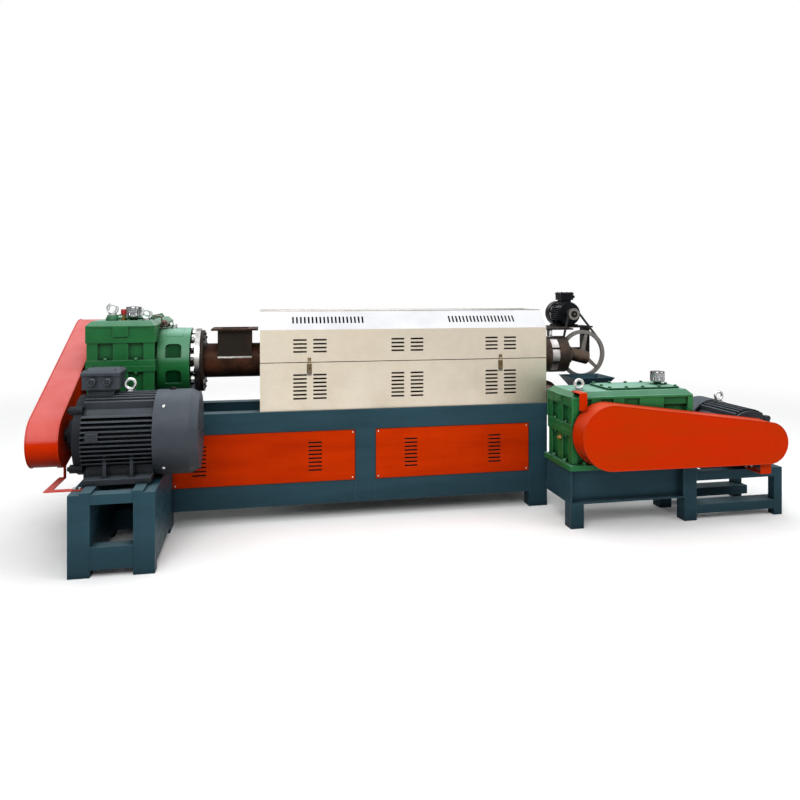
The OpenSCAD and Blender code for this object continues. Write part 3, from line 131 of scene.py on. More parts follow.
# Profile carried along a path: a section point (u, v) goes to path + u * side + v * top, where side is
# square to the path and to lift. An open path is closed at both ends by a row drawn together on the path.
def swept(path, section, lift, closed=False, swell=None):
    path = np.array(path, float)
    ahead = np.roll(path, -1, 0) - np.roll(path, 1, 0) if closed else np.gradient(path, axis=0)
    ahead = ahead / np.linalg.norm(ahead, axis=1, keepdims=True)
    side = np.cross(ahead, np.broadcast_to(np.array(lift, float), path.shape))
    side = side / np.linalg.norm(side, axis=1, keepdims=True)
    top = np.cross(side, ahead)
    size = np.ones(len(path)) if swell is None else swell
    u = section[None, :, 0, None] * size[:, None, None]
    v = section[None, :, 1, None] * size[:, None, None]
    grid = path[:, None] + u * side[:, None] + v * top[:, None]
    if closed:
        return np.concatenate([grid, grid[:1]])
    ends = np.broadcast_to(path[[0, -1], None], (2,) + grid.shape[1:])
    return np.concatenate([ends[:1], grid, ends[1:]])


# Circle of a given radius as a section, u = r cos a, v = r sin a
def roundSection(radius, sides=8):
    angle = fullTurn(sides)
    return radius * np.stack([np.cos(angle), np.sin(angle)], -1)


# Rectangle as a section: corners at half the thickness in u and half the width in v
def flatSection(thick, width):
    return 0.5 * np.array([[-1, -1], [1, -1], [1, 1], [-1, 1]]) * [thick, width]


# Even steps along a line through the given corners, by running length
def evenPath(corners, step):
    corners = np.array(corners, float)
    run = np.concatenate([[0], np.cumsum(np.linalg.norm(np.diff(corners, axis=0), axis=1))])
    count = max(2, int(run[-1] / step) + 1)
    at = np.linspace(0, run[-1], count)
    return np.stack([np.interp(at, run, corners[:, i]) for i in range(3)], -1)


# Two circles and their outer tangents, as (u, v) points in running order
def racetrack(centre1, radius1, centre2, radius2, steps=48):
    centre1, centre2 = np.array(centre1), np.array(centre2)
    across = centre2 - centre1
    lean = math.atan2(across[1], across[0])
    wrap = math.acos((radius1 - radius2) / np.linalg.norm(across))
    first = np.linspace(lean + wrap, lean + 2 * math.pi - wrap, steps)
    second = np.linspace(lean - wrap, lean + wrap, steps)
    arc1 = centre1 + radius1 * np.stack([np.cos(first), np.sin(first)], -1)
    arc2 = centre2 + radius2 * np.stack([np.cos(second), np.sin(second)], -1)
    return np.concatenate([arc1, arc2])


# Copies of a shape made about z: each is turned so that z runs along its axis, spun about it, and moved
# to its place
def stamped(grid, spots, axes, spin=0.0):
    spots = np.atleast_2d(np.array(spots, float))
    z = np.broadcast_to(np.array(axes, float), spots.shape)
    z = z / np.linalg.norm(z, axis=1, keepdims=True)
    steady = np.where(np.abs(z[:, 2:3]) > 0.9, [[1.0, 0.0, 0.0]], [[0.0, 0.0, 1.0]])
    x = np.cross(steady, z)
    x = x / np.linalg.norm(x, axis=1, keepdims=True)
    y = np.cross(z, x)
    turn = np.broadcast_to(np.array(spin, float), (len(spots),))[:, None]
    basis = np.stack([x * np.cos(turn) + y * np.sin(turn), y * np.cos(turn) - x * np.sin(turn), z], 1)
    return spots[:, None, None] + np.einsum("rci,kij->krcj", grid, basis)


# Joins grids, closed round their columns, into one mesh at the origin that rides on a body
def addPiece(name, grids, material, body="root", smoothAngle=40):
    points, quads, start = [], [], 0
    for grid in grids:
        grid = grid.reshape((-1,) + grid.shape[-3:])
        copies, rows, columns = grid.shape[:3]
        row = np.arange(rows - 1)[:, None] * columns
        column = np.arange(columns)
        following = (column + 1) % columns
        corners = [row + column, row + following, row + columns + following, row + columns + column]
        one = np.stack(np.broadcast_arrays(*corners), -1).reshape(-1, 4)
        offsets = np.arange(copies)[:, None, None] * rows * columns
        quads.append((one[None] + offsets).reshape(-1, 4) + start)
        points.append(grid.reshape(-1, 3))
        start += copies * rows * columns
    points, quads = np.concatenate(points), np.concatenate(quads)
    mesh = bpy.data.meshes.new(name)
    mesh.vertices.add(len(points))
    mesh.vertices.foreach_set("co", points.astype(np.float32).ravel())
    mesh.loops.add(quads.size)
    mesh.loops.foreach_set("vertex_index", quads.astype(np.int32).ravel())
    mesh.polygons.add(len(quads))
    mesh.polygons.foreach_set("loop_start", np.arange(len(quads), dtype=np.int32) * 4)
    mesh.update(calc_edges=True)
    shell = bmesh.new()
    shell.from_mesh(mesh)
    bmesh.ops.remove_doubles(shell, verts=shell.verts, dist=1e-6)
    bmesh.ops.recalc_face_normals(shell, faces=shell.faces)
    shell.to_mesh(mesh)
    shell.free()
    mesh.polygons.foreach_set("use_smooth", np.ones(len(mesh.polygons), bool))
    mesh.set_sharp_from_angle(angle=math.radians(smoothAngle))
    mesh.materials.append(material)
    piece = bpy.data.objects.new(name, mesh)
    scene.collection.objects.link(piece)
    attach(piece, body)
    return piece


# Fasteners, made about z with their seat at zero

# Hexagon head: rows of a round washer, then of six flats, then of a chamfered round top
def boltHead(across, height):
    washer = 0.72 * across
    lip = 0.12 * height
    return hexagon([(0, 0, 0), (washer, 0, 0), (washer, lip, 0), (across / 2, lip, 1),
                    (across / 2, 0.86 * height, 1), (0.46 * across, height, 0), (0, height, 0)])


# Nut: rows of six flats with a chamfered top, then of a thinner round stud that stands out of it
def nutWithStud(across, height):
    stud = 0.3 * across
    return hexagon([(0, 0, 0), (across / 2, 0, 1), (across / 2, 0.88 * height, 1), (0.46 * across, height, 0),
                    (stud, height, 0), (stud, 1.4 * height, 0), (0.8 * stud, 1.5 * height, 0),
                    (0, 1.5 * height, 0)])


# Pan head: a turned profile, straight at its foot, domed above, with a dished recess
def panHead(radius, height):
    return turned([(0, 0), (radius, 0), (radius, 0.35 * height), (0.8 * radius, 0.8 * height),
                   (0.35 * radius, height), (0.25 * radius, 0.6 * height), (0, 0.6 * height)], 12)


# Socket head: a turned cylinder with a broken edge and a round socket
def socketHead(radius, height):
    return turned([(0, 0), (radius, 0), (radius, 0.9 * height), (0.93 * radius, height),
                   (0.58 * radius, height), (0.54 * radius, 0.45 * height), (0, 0.45 * height)], 16)


# Shader graphs

class Shader:
    def __init__(self, name):
        self.material = bpy.data.materials.new(name)
        self.material.use_nodes = True
        self.tree = self.material.node_tree
        self.surface = self.tree.nodes["Principled BSDF"]
        self.objectCoords = self.tree.nodes.new("ShaderNodeTexCoord").outputs["Object"]

    def link(self, output, socket):
        self.tree.links.new(output, socket)

    def mapping(self, scale, shift=(0, 0, 0)):
        node = self.tree.nodes.new("ShaderNodeMapping")
        node.inputs["Scale"].default_value = scale
        node.inputs["Location"].default_value = shift
        self.link(self.objectCoords, node.inputs["Vector"])
        return node.outputs["Vector"]

    def noise(self, scale, detail=4.0, rough=0.55, vector=None, warp=0.0):
        node = self.tree.nodes.new("ShaderNodeTexNoise")
        node.inputs["Scale"].default_value = scale
        node.inputs["Detail"].default_value = detail
        node.inputs["Roughness"].default_value = rough
        node.inputs["Distortion"].default_value = warp
        self.link(vector or self.objectCoords, node.inputs["Vector"])
        return node.outputs["Fac"]

    # Eased from toLow to toHigh as a value goes from low to high, level beyond them
    def spread(self, value, low, high, toLow=0.0, toHigh=1.0):
        node = self.tree.nodes.new("ShaderNodeMapRange")
        node.interpolation_type = "SMOOTHSTEP"
        for socket, number in (("From Min", low), ("From Max", high), ("To Min", toLow), ("To Max", toHigh)):
            node.inputs[socket].default_value = number
        self.link(value, node.inputs["Value"])
        return node.outputs["Result"]

    def math(self, kind, first, second):
        node = self.tree.nodes.new("ShaderNodeMath")
        node.operation = kind
        for socket, value in zip(node.inputs, (first, second)):
            if isinstance(value, (int, float)):
                socket.default_value = value
            else:
                self.link(value, socket)
        return node.outputs["Value"]

    # From one colour to another by a share
    def blend(self, share, first, second):
        node = self.tree.nodes.new("ShaderNodeMix")
        node.data_type = "RGBA"
        self.link(share, node.inputs["Factor"])
        for socket, value in ((node.inputs[6], first), (node.inputs[7], second)):
            if isinstance(value, tuple):
                socket.default_value = value + (1.0,)
            else:
                self.link(value, socket)
        return node.outputs[2]

    def axis(self, vector, letter):
        node = self.tree.nodes.new("ShaderNodeSeparateXYZ")
        self.link(vector, node.inputs["Vector"])
        return node.outputs[letter]

    def place(self, letter):
        return self.axis(self.objectCoords, letter)

    def ownNormal(self):
        return self.tree.nodes.new("ShaderNodeNewGeometry").outputs["Normal"]

    # How far two directions agree: the sum of their products along x, y and z
    def along(self, first, second):
        node = self.tree.nodes.new("ShaderNodeVectorMath")
        node.operation = "DOT_PRODUCT"
        self.link(first, node.inputs[0])
        self.link(second, node.inputs[1])
        return node.outputs["Value"]

    # Dark in corners and under ledges, light in the open
    def openness(self, reach):
        node = self.tree.nodes.new("ShaderNodeAmbientOcclusion")
        node.samples = 6
        node.inputs["Distance"].default_value = reach
        return node.outputs["AO"]

    # Normal that rolls over at edges, as paint does
    def rolled(self, radius):
        node = self.tree.nodes.new("ShaderNodeBevel")
        node.samples = 4
        node.inputs["Radius"].default_value = radius
        return node.outputs["Normal"]

    # Light along edges: how far the rolled normal turns from the face's own
    def edges(self, radius):
        return self.spread(self.along(self.rolled(radius), self.ownNormal()), 0.75, 0.99, 1, 0)

    # Light on faces that look away from the line along x through (y, z), dark on those that look at it
    def outward(self, y, z):
        turn = self.tree.nodes.new("ShaderNodeVectorTransform")
        turn.vector_type, turn.convert_from, turn.convert_to = "NORMAL", "WORLD", "OBJECT"
        self.link(self.ownNormal(), turn.inputs["Vector"])
        away = self.mapping((0, 1, 1), shift=(0, -y, -z))
        return self.spread(self.along(turn.outputs["Vector"], away), 0.0, 0.02)

    def bump(self, height, strength, depth, under=None):
        node = self.tree.nodes.new("ShaderNodeBump")
        node.inputs["Strength"].default_value = strength
        node.inputs["Distance"].default_value = depth
        self.link(height, node.inputs["Height"])
        if under is not None:
            self.link(under, node.inputs["Normal"])
        return node.outputs["Normal"]

    def colour(self, output):
        self.link(output, self.surface.inputs["Base Color"])

    def rough(self, output):
        self.link(output, self.surface.inputs["Roughness"])

    def normal(self, output):
        self.link(output, self.surface.inputs["Normal"])

    def metal(self, output):
        self.link(output, self.surface.inputs["Metallic"])

    # Constants, straight on the shader's own sockets
    def set(self, sockets):
        for name, value in sockets.items():
            self.surface.inputs[name].default_value = value


# Colour of an sRGB triple of 0 to 255 as Blender's linear triple
def tint(red, green, blue):
    shown = np.array([red, green, blue]) / 255
    return tuple(np.where(shown <= 0.04045, shown / 12.92, ((shown + 0.055) / 1.055) ** 2.4).tolist())


# Sprayed enamel: two close tints in broad clouds and level wiping marks, faint runs down the sides, wear with
# painted light and shade, and the orange peel of a spray gun
def enamel(name, look):
    skin = Shader(name)
    clouds = skin.spread(skin.noise(look["cloud"], 5), 0.3, 0.7)
    wiped = skin.spread(skin.noise(1.0, 6, 0.62, skin.mapping((1.6, 1.6, 12))), 0.35, 0.7)
    both = skin.math("MULTIPLY", skin.math("ADD", clouds, wiped), 0.5)
    base = skin.blend(both, look["paint"], look["shade"])
    streaks = skin.noise(1.0, 6, 0.6, skin.mapping((look["streak"], look["streak"], 0.8)))
    base = skin.blend(skin.spread(streaks, 0.52, 0.8, 0, look["streakShare"]), base, look["grimeAndShade"])
    peel = skin.bump(skin.noise(look["peel"], 2), look["peelStrength"], 0.0012, skin.rolled(look["edge"]))
    skin.normal(skin.bump(skin.noise(3.2, 2), look["wave"], 0.02, peel))
    weatherAndShade(skin, base, look)
    skin.rough(skin.spread(skin.noise(22, 5), 0.25, 0.8, look["gloss"], look["gloss"] + 0.2))
    return skin.material


# Thick paint on a rough casting: two close tints in clouds, wear with painted light and shade, and the sand
# grain and soft lumps of a mould
def castingPaint(name, look):
    skin = Shader(name)
    clouds = skin.spread(skin.noise(look["cloud"], 5), 0.3, 0.7)
    base = skin.blend(clouds, look["paint"], look["shade"])
    sand = skin.noise(look["grain"], 3, 0.6)
    grain = skin.bump(sand, look["grainStrength"], 0.002, skin.rolled(look["edge"]))
    skin.normal(skin.bump(skin.noise(look["lump"], 2), look["lumpStrength"], 0.01, grain))
    weatherAndShade(skin, base, look)
    skin.rough(skin.spread(skin.noise(30, 4), 0.25, 0.8, look["gloss"], look["gloss"] + 0.22))
    return skin.material


# Dirt, wear and painted light and shade that both paints share: painted shade in corners and on undersides,
# darker near the floor as grime and painted shade, a pale painted sky sheen on the upper side wherever it lies
# open, more of it on flat tops and higher up, worn edges lightened as wear and painted highlight, and chips
def weatherAndShade(skin, base, look):
    # Painted shade in corners and under ledges, in the grime-and-shade colour
    corners = skin.spread(skin.openness(look["cornerShadeReach"]), 0.35, 0.95, look["cornerShadeShare"], 0)
    base = skin.blend(corners, base, look["grimeAndShade"])
    height = skin.place("Z")
    # Darker near the floor: grime and painted shade
    base = skin.blend(skin.spread(height, 0.03, 0.3, look["lowGrimeAndShade"], 0), base, look["grimeAndShade"])
    upright = skin.axis(skin.ownNormal(), "Z")
    # Painted shade on faces that look down
    base = skin.blend(skin.spread(upright, -0.9, -0.1, look["undersideShadeShare"], 0), base, look["grimeAndShade"])
    # Painted sky sheen on faces that look up, more on flat tops, in the open and higher up
    skySheen = skin.math("ADD", skin.spread(upright, look["sheenFrom"], look["sheenTo"], 0, look["sheenShare"]),
                     skin.spread(upright, 0.75, 1.0, 0, look["topSheenShare"]))
    skySheen = skin.math("MULTIPLY", skySheen, skin.spread(skin.openness(look["sheenReach"]), 0.55, 0.9))
    skySheen = skin.math("MULTIPLY", skySheen, skin.spread(height, 0.6, 1.25, look["sheenLow"], 1.0))
    skySheen = skin.math("MULTIPLY", skySheen, skin.spread(skin.noise(9, 6), 0.25, 0.8, 0.75, 1.0))
    base = skin.blend(skySheen, base, look["skySheen"])
    # Edges lightened as wear and as a painted highlight
    wornLitEdges = skin.math("MULTIPLY", skin.edges(look["edge"]), look["edgeWearHighlightShare"])
    base = skin.blend(wornLitEdges, base, look["edgeWearHighlight"])
    chips = skin.spread(skin.noise(look["chip"], 3, 0.7), look["chipFrom"], look["chipFrom"] + 0.03)
    skin.colour(skin.blend(skin.math("MULTIPLY", chips, 0.7), base, look["chipColour"]))
    skin.set({"Specular IOR Level": look["shine"], "Specular Tint": look["gleam"] + (1.0,),
              "Coat Weight": look["coat"], "Coat Roughness": 0.15})


# Brushed sheet: fine lines along x, cloudy smudges that are also painted reflections, a faint warm cast, and
# heat stains with painted shade on the inside, which faces the barrel
def brushedSheet(name, look):
    skin = Shader(name)
    lines = skin.noise(1.0, 3, 0.7, skin.mapping((look["lineLength"], look["lineFine"], look["lineFine"])))
    smudgeAndReflection = skin.noise(look["smudgeAndReflection"], 5, 0.6)
    base = skin.blend(skin.spread(smudgeAndReflection, 0.35, 0.75), look["metal"], look["shade"])
    base = skin.blend(skin.spread(lines, 0.35, 0.7, 0, 0.25), base, look["line"])
    # Heat stains and painted shade on the faces that look at the barrel, dark as the inside of the cover
    outside = skin.outward(drumMid[1], drumMid[2])
    stainedAndShaded = skin.blend(skin.spread(skin.noise(5, 5), 0.35, 0.7), look["stain"], look["soot"])
    skin.colour(skin.blend(outside, stainedAndShaded, base))
    skin.metal(skin.spread(outside, 0, 1, 0.25, 1.0))
    dull = skin.spread(smudgeAndReflection, 0.3, 0.75, look["gloss"], look["gloss"] + 0.16)
    skin.rough(skin.math("ADD", skin.spread(lines, 0.3, 0.7, 0, 0.1), dull))
    ridges = skin.bump(lines, 0.12, 0.0006)
    skin.normal(skin.bump(skin.noise(2.1, 2), look["wave"], 0.02, ridges))
    return skin.material


# Machined steel: fine tool lines, close together along the axes that have a high scale, oily stains, and soot
# below a height and left of a place where the look names them
def machinedSteel(name, look):
    skin = Shader(name)
    lines = skin.noise(1.0, 2, 0.6, skin.mapping(look["lineScale"]))
    stain = skin.noise(look["stain"], 5, 0.6)
    base = skin.blend(skin.spread(stain, 0.4, 0.72), look["metal"], look["shade"])
    if "sootBelow" in look:
        middle = look["sootBelow"]
        low = skin.spread(skin.place("Z"), middle - 0.05, middle + 0.05, look["sootShare"], 0)
        base = skin.blend(low, base, look["soot"])
    if "sootLeft" in look:
        left = skin.spread(skin.place("X"), look["sootLeft"] - 0.003, look["sootLeft"], 0.96, 0)
        base = skin.blend(left, base, look["soot"])
    skin.colour(base)
    skin.rough(skin.spread(stain, 0.3, 0.75, look["gloss"], look["gloss"] + 0.25))
    skin.normal(skin.bump(lines, 0.2, 0.0008))
    skin.set({"Metallic": 1.0})
    return skin.material


# Bare iron under rust: dark scale, brown bloom in patches, bright rub marks, pits, painted shade underneath
# and in corners. A block between two places along x and above a height can be charred, and so can all that
# lies left of a place.
def rustyIron(name, look):
    skin = Shader(name)
    patches = skin.noise(look["patch"], 6, 0.65, warp=0.4)
    bloom = skin.spread(patches, 0.4, 0.68)
    base = skin.blend(bloom, look["scale"], look["rust"])
    fine = skin.noise(look["fine"], 5, 0.7)
    base = skin.blend(skin.spread(fine, 0.55, 0.75, 0, 0.5), base, look["bloom"])
    rubs = skin.noise(1.0, 5, 0.6, skin.mapping(look["rub"]))
    base = skin.blend(skin.spread(rubs, 0.62, 0.75, 0, look["rubShare"]), base, look["bright"])
    if "char" in look:
        x = skin.place("X")
        charred = skin.math("GREATER_THAN", x, look["charFrom"])
        charred = skin.math("MULTIPLY", charred, skin.math("LESS_THAN", x, look["charTo"]))
        above = skin.math("GREATER_THAN", skin.place("Z"), look["charAbove"])
        charred = skin.math("MULTIPLY", charred, above)
        charred = skin.math("MAXIMUM", charred, skin.math("LESS_THAN", x, look["charLeft"]))
        charred = skin.math("MULTIPLY", charred, skin.spread(patches, 0.2, 0.8, 1.0, 0.7))
        base = skin.blend(charred, base, look["char"])
    # Painted shade on faces that look down
    under = skin.spread(skin.axis(skin.ownNormal(), "Z"), -0.95, -0.05, look["undersideShadeShare"], 0)
    base = skin.blend(under, base, look["shadeColour"])
    # Painted shade in corners
    skin.colour(skin.blend(skin.spread(skin.openness(0.06), 0.3, 0.9, 0.6, 0), base, look["shadeColour"]))
    skin.rough(skin.spread(fine, 0.3, 0.75, look["gloss"], look["gloss"] + 0.3))
    skin.metal(skin.spread(bloom, 0, 1, look["bare"], 0.1))
    skin.set({"Specular IOR Level": look["shine"]})
    pits = skin.bump(fine, 0.35, 0.0015)
    skin.normal(skin.bump(patches, 0.25, 0.004, pits))
    return skin.material


# Plated fastener metal: pale, with a mottled bloom, and painted shade in its grooves and where it is seated
def platedMetal(name, metal, shade, gloss):
    skin = Shader(name)
    mottle = skin.noise(180, 4, 0.6)
    base = skin.blend(skin.spread(mottle, 0.35, 0.7), metal, shade)
    # Painted shade in the grooves and where the part is seated
    skin.colour(skin.blend(skin.spread(skin.openness(0.012), 0.35, 0.9, 0.85, 0), base, tint(14, 13, 12)))
    skin.rough(skin.spread(mottle, 0.3, 0.75, gloss, gloss + 0.2))
    skin.normal(skin.bump(skin.noise(700, 2), 0.08, 0.0005))
    skin.set({"Metallic": 1.0})
    return skin.material


# Black drive belt: fine cloth grain with pale rubber dust
def beltRubber(name):
    skin = Shader(name)
    dust = skin.noise(60, 5, 0.7)
    skin.colour(skin.blend(skin.spread(dust, 0.5, 0.75, 0, 0.5), tint(13, 13, 14), tint(40, 39, 38)))
    skin.rough(skin.spread(dust, 0.3, 0.7, 0.55, 0.8))
    skin.normal(skin.bump(skin.noise(900, 2), 0.3, 0.0006))
    return skin.material


# Moulded plastic: two close tints in a mottle, with a fine pebbled face
def mouldedPlastic(name, colour, shade):
    skin = Shader(name)
    mottle = skin.noise(90, 3)
    skin.colour(skin.blend(skin.spread(mottle, 0.3, 0.7), colour, shade))
    skin.rough(skin.spread(mottle, 0.3, 0.7, 0.35, 0.5))
    skin.normal(skin.bump(skin.noise(500, 2), 0.1, 0.0005))
    return skin.material


drumLow, drumHigh = nodeBox("thrust_housing")
drumMid = 0.5 * (drumLow + drumHigh)

enamelLook = {
    "cloud": 1.7, "streak": 14.0, "streakShare": 0.07, "cornerShadeReach": 0.05, "cornerShadeShare": 0.6,
    "undersideShadeShare": 0.5, "lowGrimeAndShade": 0.32, "sheenFrom": 0.3, "sheenTo": 0.9, "sheenShare": 0.2, "topSheenShare": 0.2,
    "sheenReach": 0.1, "sheenLow": 1.0, "edge": 0.004, "edgeWearHighlightShare": 0.4, "chip": 70.0, "chipFrom": 0.76,
    "chipColour": tint(120, 120, 118), "gloss": 0.3, "peel": 420.0, "peelStrength": 0.12, "wave": 0.06,
    "shine": 0.06, "gleam": (1.0, 1.0, 1.0), "coat": 0.0,
}
frameLook = dict(enamelLook, paint=tint(39, 66, 76), shade=tint(32, 55, 64), grimeAndShade=tint(8, 18, 23),
                 skySheen=tint(118, 142, 150), edgeWearHighlight=tint(96, 122, 132))
panelLook = dict(enamelLook, paint=tint(184, 46, 0), shade=tint(156, 34, 0), grimeAndShade=tint(90, 18, 0),
                 skySheen=tint(214, 110, 84), edgeWearHighlight=tint(220, 110, 76), chip=26.0, chipFrom=0.68,
                 chipColour=tint(112, 26, 4), wave=0.14, shine=0.045, gleam=(1.0, 0.5, 0.3))
guardLook = dict(enamelLook, paint=tint(188, 41, 0), shade=tint(172, 34, 0), grimeAndShade=tint(84, 12, 0),
                 undersideShadeShare=0.9, skySheen=tint(202, 116, 114), sheenFrom=0.02, sheenTo=0.22, sheenShare=0.9,
                 sheenLow=0.62, edgeWearHighlight=tint(226, 108, 80), wave=0.12, shine=0.045, gleam=(1.0, 0.5, 0.3))
guard2Look = dict(guardLook, cloud=1.2, paint=tint(185, 32, 0), shade=tint(167, 44, 0),
                  skySheen=tint(214, 92, 62), sheenFrom=0.1, sheenTo=0.9, sheenShare=0.4, sheenLow=1.0, wave=0.18)
gearLook = {
    "paint": tint(26, 97, 49), "shade": tint(20, 84, 40), "grimeAndShade": tint(2, 26, 11), "cloud": 3.5,
    "lowGrimeAndShade": 0.0, "cornerShadeReach": 0.05, "cornerShadeShare": 0.9, "undersideShadeShare": 0.65, "skySheen": tint(142, 186, 168),
    "sheenFrom": 0.02, "sheenTo": 0.2, "sheenShare": 0.26, "topSheenShare": 0.7, "sheenReach": 0.12, "sheenLow": 1.0,
    "edge": 0.007, "edgeWearHighlightShare": 0.45, "edgeWearHighlight": tint(92, 156, 112), "chip": 80.0, "chipFrom": 0.77,
    "chipColour": tint(70, 76, 70), "gloss": 0.3, "grain": 150.0, "grainStrength": 0.3, "lump": 22.0,
    "lumpStrength": 0.2, "shine": 0.15, "gleam": (1.0, 1.0, 1.0), "coat": 0.04,
}
# A lighter copy of the gear paint for the facings: painted light on their lit faces
litFacingPaintLook = dict(gearLook, paint=tint(42, 118, 64), shade=tint(34, 106, 55))
# Dark green for the window floors: painted shade in the drum's windows
windowShadeLook = dict(gearLook, paint=tint(9, 60, 28), shade=tint(6, 44, 19), sheenShare=0.0, topSheenShare=0.1,
                  shine=0.03, coat=0.0)
motorLook = dict(gearLook, paint=tint(45, 49, 53), shade=tint(36, 40, 44), grimeAndShade=tint(4, 5, 6),
                 skySheen=tint(98, 106, 114), sheenFrom=-0.05, sheenTo=0.9, sheenShare=0.3, topSheenShare=0.2,
                 sheenReach=0.03, edgeWearHighlight=tint(116, 125, 134), edge=0.004, edgeWearHighlightShare=0.6, cornerShadeReach=0.03,
                 cornerShadeShare=1.0, chipColour=tint(120, 122, 124), gloss=0.42, coat=0.0, grain=260.0,
                 grainStrength=0.18, lumpStrength=0.08)
cowlLook = dict(motorLook, paint=tint(54, 59, 65), shade=tint(46, 51, 57), grainStrength=0.06,
                lumpStrength=0.04)
darkMotorLook = dict(motorLook, paint=tint(25, 28, 32), shade=tint(18, 20, 24), skySheen=tint(66, 72, 80),
                     sheenShare=0.2, edgeWearHighlight=tint(64, 70, 78), shine=0.1)
smallMotorLook = dict(darkMotorLook, paint=tint(15, 18, 22), shade=tint(10, 12, 16), skySheen=tint(50, 57, 66),
                      sheenShare=0.14, topSheenShare=0.14, edgeWearHighlight=tint(54, 61, 70), shine=0.08)
sheetLook = {"metal": tint(227, 216, 197), "shade": tint(209, 198, 179), "line": tint(192, 183, 166),
             "stain": tint(64, 50, 40), "soot": tint(26, 20, 16), "lineLength": 5.0, "lineFine": 900.0,
             "smudgeAndReflection": 2.4, "gloss": 0.3, "wave": 0.06}
# A neutral copy of the brushed sheet for the lid slopes, toned to their painted sky reflection
slopeSkyLook = dict(sheetLook, metal=tint(192, 193, 194), shade=tint(184, 185, 187), line=tint(178, 178, 179))
# A darker copy of the brushed sheet for the lid's top and hems: a painted dark reflection line
ridgeReflectionLook = dict(sheetLook, metal=tint(168, 161, 152), shade=tint(142, 135, 126), line=tint(128, 122, 114))
flangeLook = {"metal": tint(206, 206, 204), "shade": tint(150, 144, 134), "lineScale": (900.0, 40.0, 40.0),
              "stain": 16.0, "gloss": 0.22}
collarLook = dict(flangeLook, metal=tint(172, 172, 170), shade=tint(140, 135, 127), soot=tint(30, 22, 17),
                  sootShare=0.88, sootLeft=-1.585, sootBelow=1.06)
plateLook = dict(flangeLook, metal=tint(207, 202, 200), shade=tint(184, 177, 173), gloss=0.3,
                 soot=tint(74, 64, 56), sootShare=0.8, sootBelow=1.04)
seamLook = dict(flangeLook, metal=tint(246, 244, 240), shade=tint(222, 217, 208), gloss=0.5)
# Heater band steel, darkened as painted shade seen through the cover's slots; also on the bearing cover, valve
# and clamps
bandShadeLook = {"metal": tint(98, 92, 84), "shade": tint(58, 52, 46), "lineScale": (30.0, 700.0, 700.0),
            "stain": 12.0, "gloss": 0.36}
ironLook = {"scale": tint(40, 23, 13), "rust": tint(70, 37, 18), "bloom": tint(92, 54, 30),
            "shadeColour": tint(7, 4, 3), "bright": tint(138, 118, 96), "patch": 7.0, "fine": 95.0,
            "rub": (48.0, 5.0, 5.0), "rubShare": 0.2, "undersideShadeShare": 0.85, "bare": 0.4, "shine": 0.12,
            "gloss": 0.4}
feedLook = dict(ironLook, char=tint(36, 32, 27), charFrom=-1.439, charTo=-1.205, charAbove=1.112,
                charLeft=-1.5305)
headLook = dict(ironLook, scale=tint(54, 46, 40), rust=tint(67, 50, 39), bloom=tint(80, 64, 53), bare=0.68,
                shadeColour=tint(12, 9, 7), shine=0.26)
spoutLook = dict(headLook, scale=tint(80, 67, 59), rust=tint(90, 70, 56), bloom=tint(106, 88, 75))
bracketLook = dict(ironLook, scale=tint(28, 23, 20), rust=tint(46, 33, 25), bloom=tint(60, 46, 36))
wheelLook = dict(ironLook, scale=tint(124, 121, 117), rust=tint(103, 96, 89), bloom=tint(140, 135, 130),
                 bare=0.75, shadeColour=tint(34, 30, 26), rubShare=0.35, shine=0.4)

framePaint = enamel("framePaint", frameLook)
panelPaint = enamel("panelPaint", panelLook)
guardPaint = enamel("guardPaint", guardLook)
guard2Paint = enamel("guard2Paint", guard2Look)
gearPaint = castingPaint("gearPaint", gearLook)
litFacingPaint = castingPaint("litFacingPaint", litFacingPaintLook)
windowShadePaint = castingPaint("windowShadePaint", windowShadeLook)
motorPaint = castingPaint("motorPaint", motorLook)
cowlPaint = castingPaint("cowlPaint", cowlLook)
darkMotorPaint = castingPaint("darkMotorPaint", darkMotorLook)
smallMotorPaint = castingPaint("smallMotorPaint", smallMotorLook)
sheetSteel = brushedSheet("sheetSteel", sheetLook)
slopeSkySteel = brushedSheet("slopeSkySteel", slopeSkyLook)
ridgeReflectionSteel = brushedSheet("ridgeReflectionSteel", ridgeReflectionLook)
flangeSteel = machinedSteel("flangeSteel", flangeLook)
collarSteel = machinedSteel("collarSteel", collarLook)
plateSteel = machinedSteel("plateSteel", plateLook)
seamSteel = machinedSteel("seamSteel", seamLook)
bandShadeSteel = machinedSteel("bandShadeSteel", bandShadeLook)
barrelIron = rustyIron("barrelIron", ironLook)
feedIron = rustyIron("feedIron", feedLook)
headIron = rustyIron("headIron", headLook)
spoutIron = rustyIron("spoutIron", spoutLook)
bracketIron = rustyIron("bracketIron", bracketLook)
wheelIron = rustyIron("wheelIron", wheelLook)
zincPlate = platedMetal("zincPlate", tint(226, 228, 226), tint(190, 192, 190), 0.22)
blackBolt = platedMetal("blackBolt", tint(40, 40, 42), tint(26, 26, 28), 0.4)
latchSteel = platedMetal("latchSteel", tint(132, 122, 108), tint(92, 82, 70), 0.3)
chromePlate = platedMetal("chromePlate", tint(186, 186, 188), tint(142, 142, 146), 0.14)
brass = platedMetal("brass", tint(176, 140, 78), tint(132, 100, 52), 0.28)
redCap = mouldedPlastic("redCap", tint(176, 22, 30), tint(140, 14, 22))
knobPlastic = mouldedPlastic("knobPlastic", tint(104, 58, 56), tint(70, 36, 36))
beltBlack = beltRubber("beltBlack")
slotShadeFelt = beltRubber("slotShadeFelt")

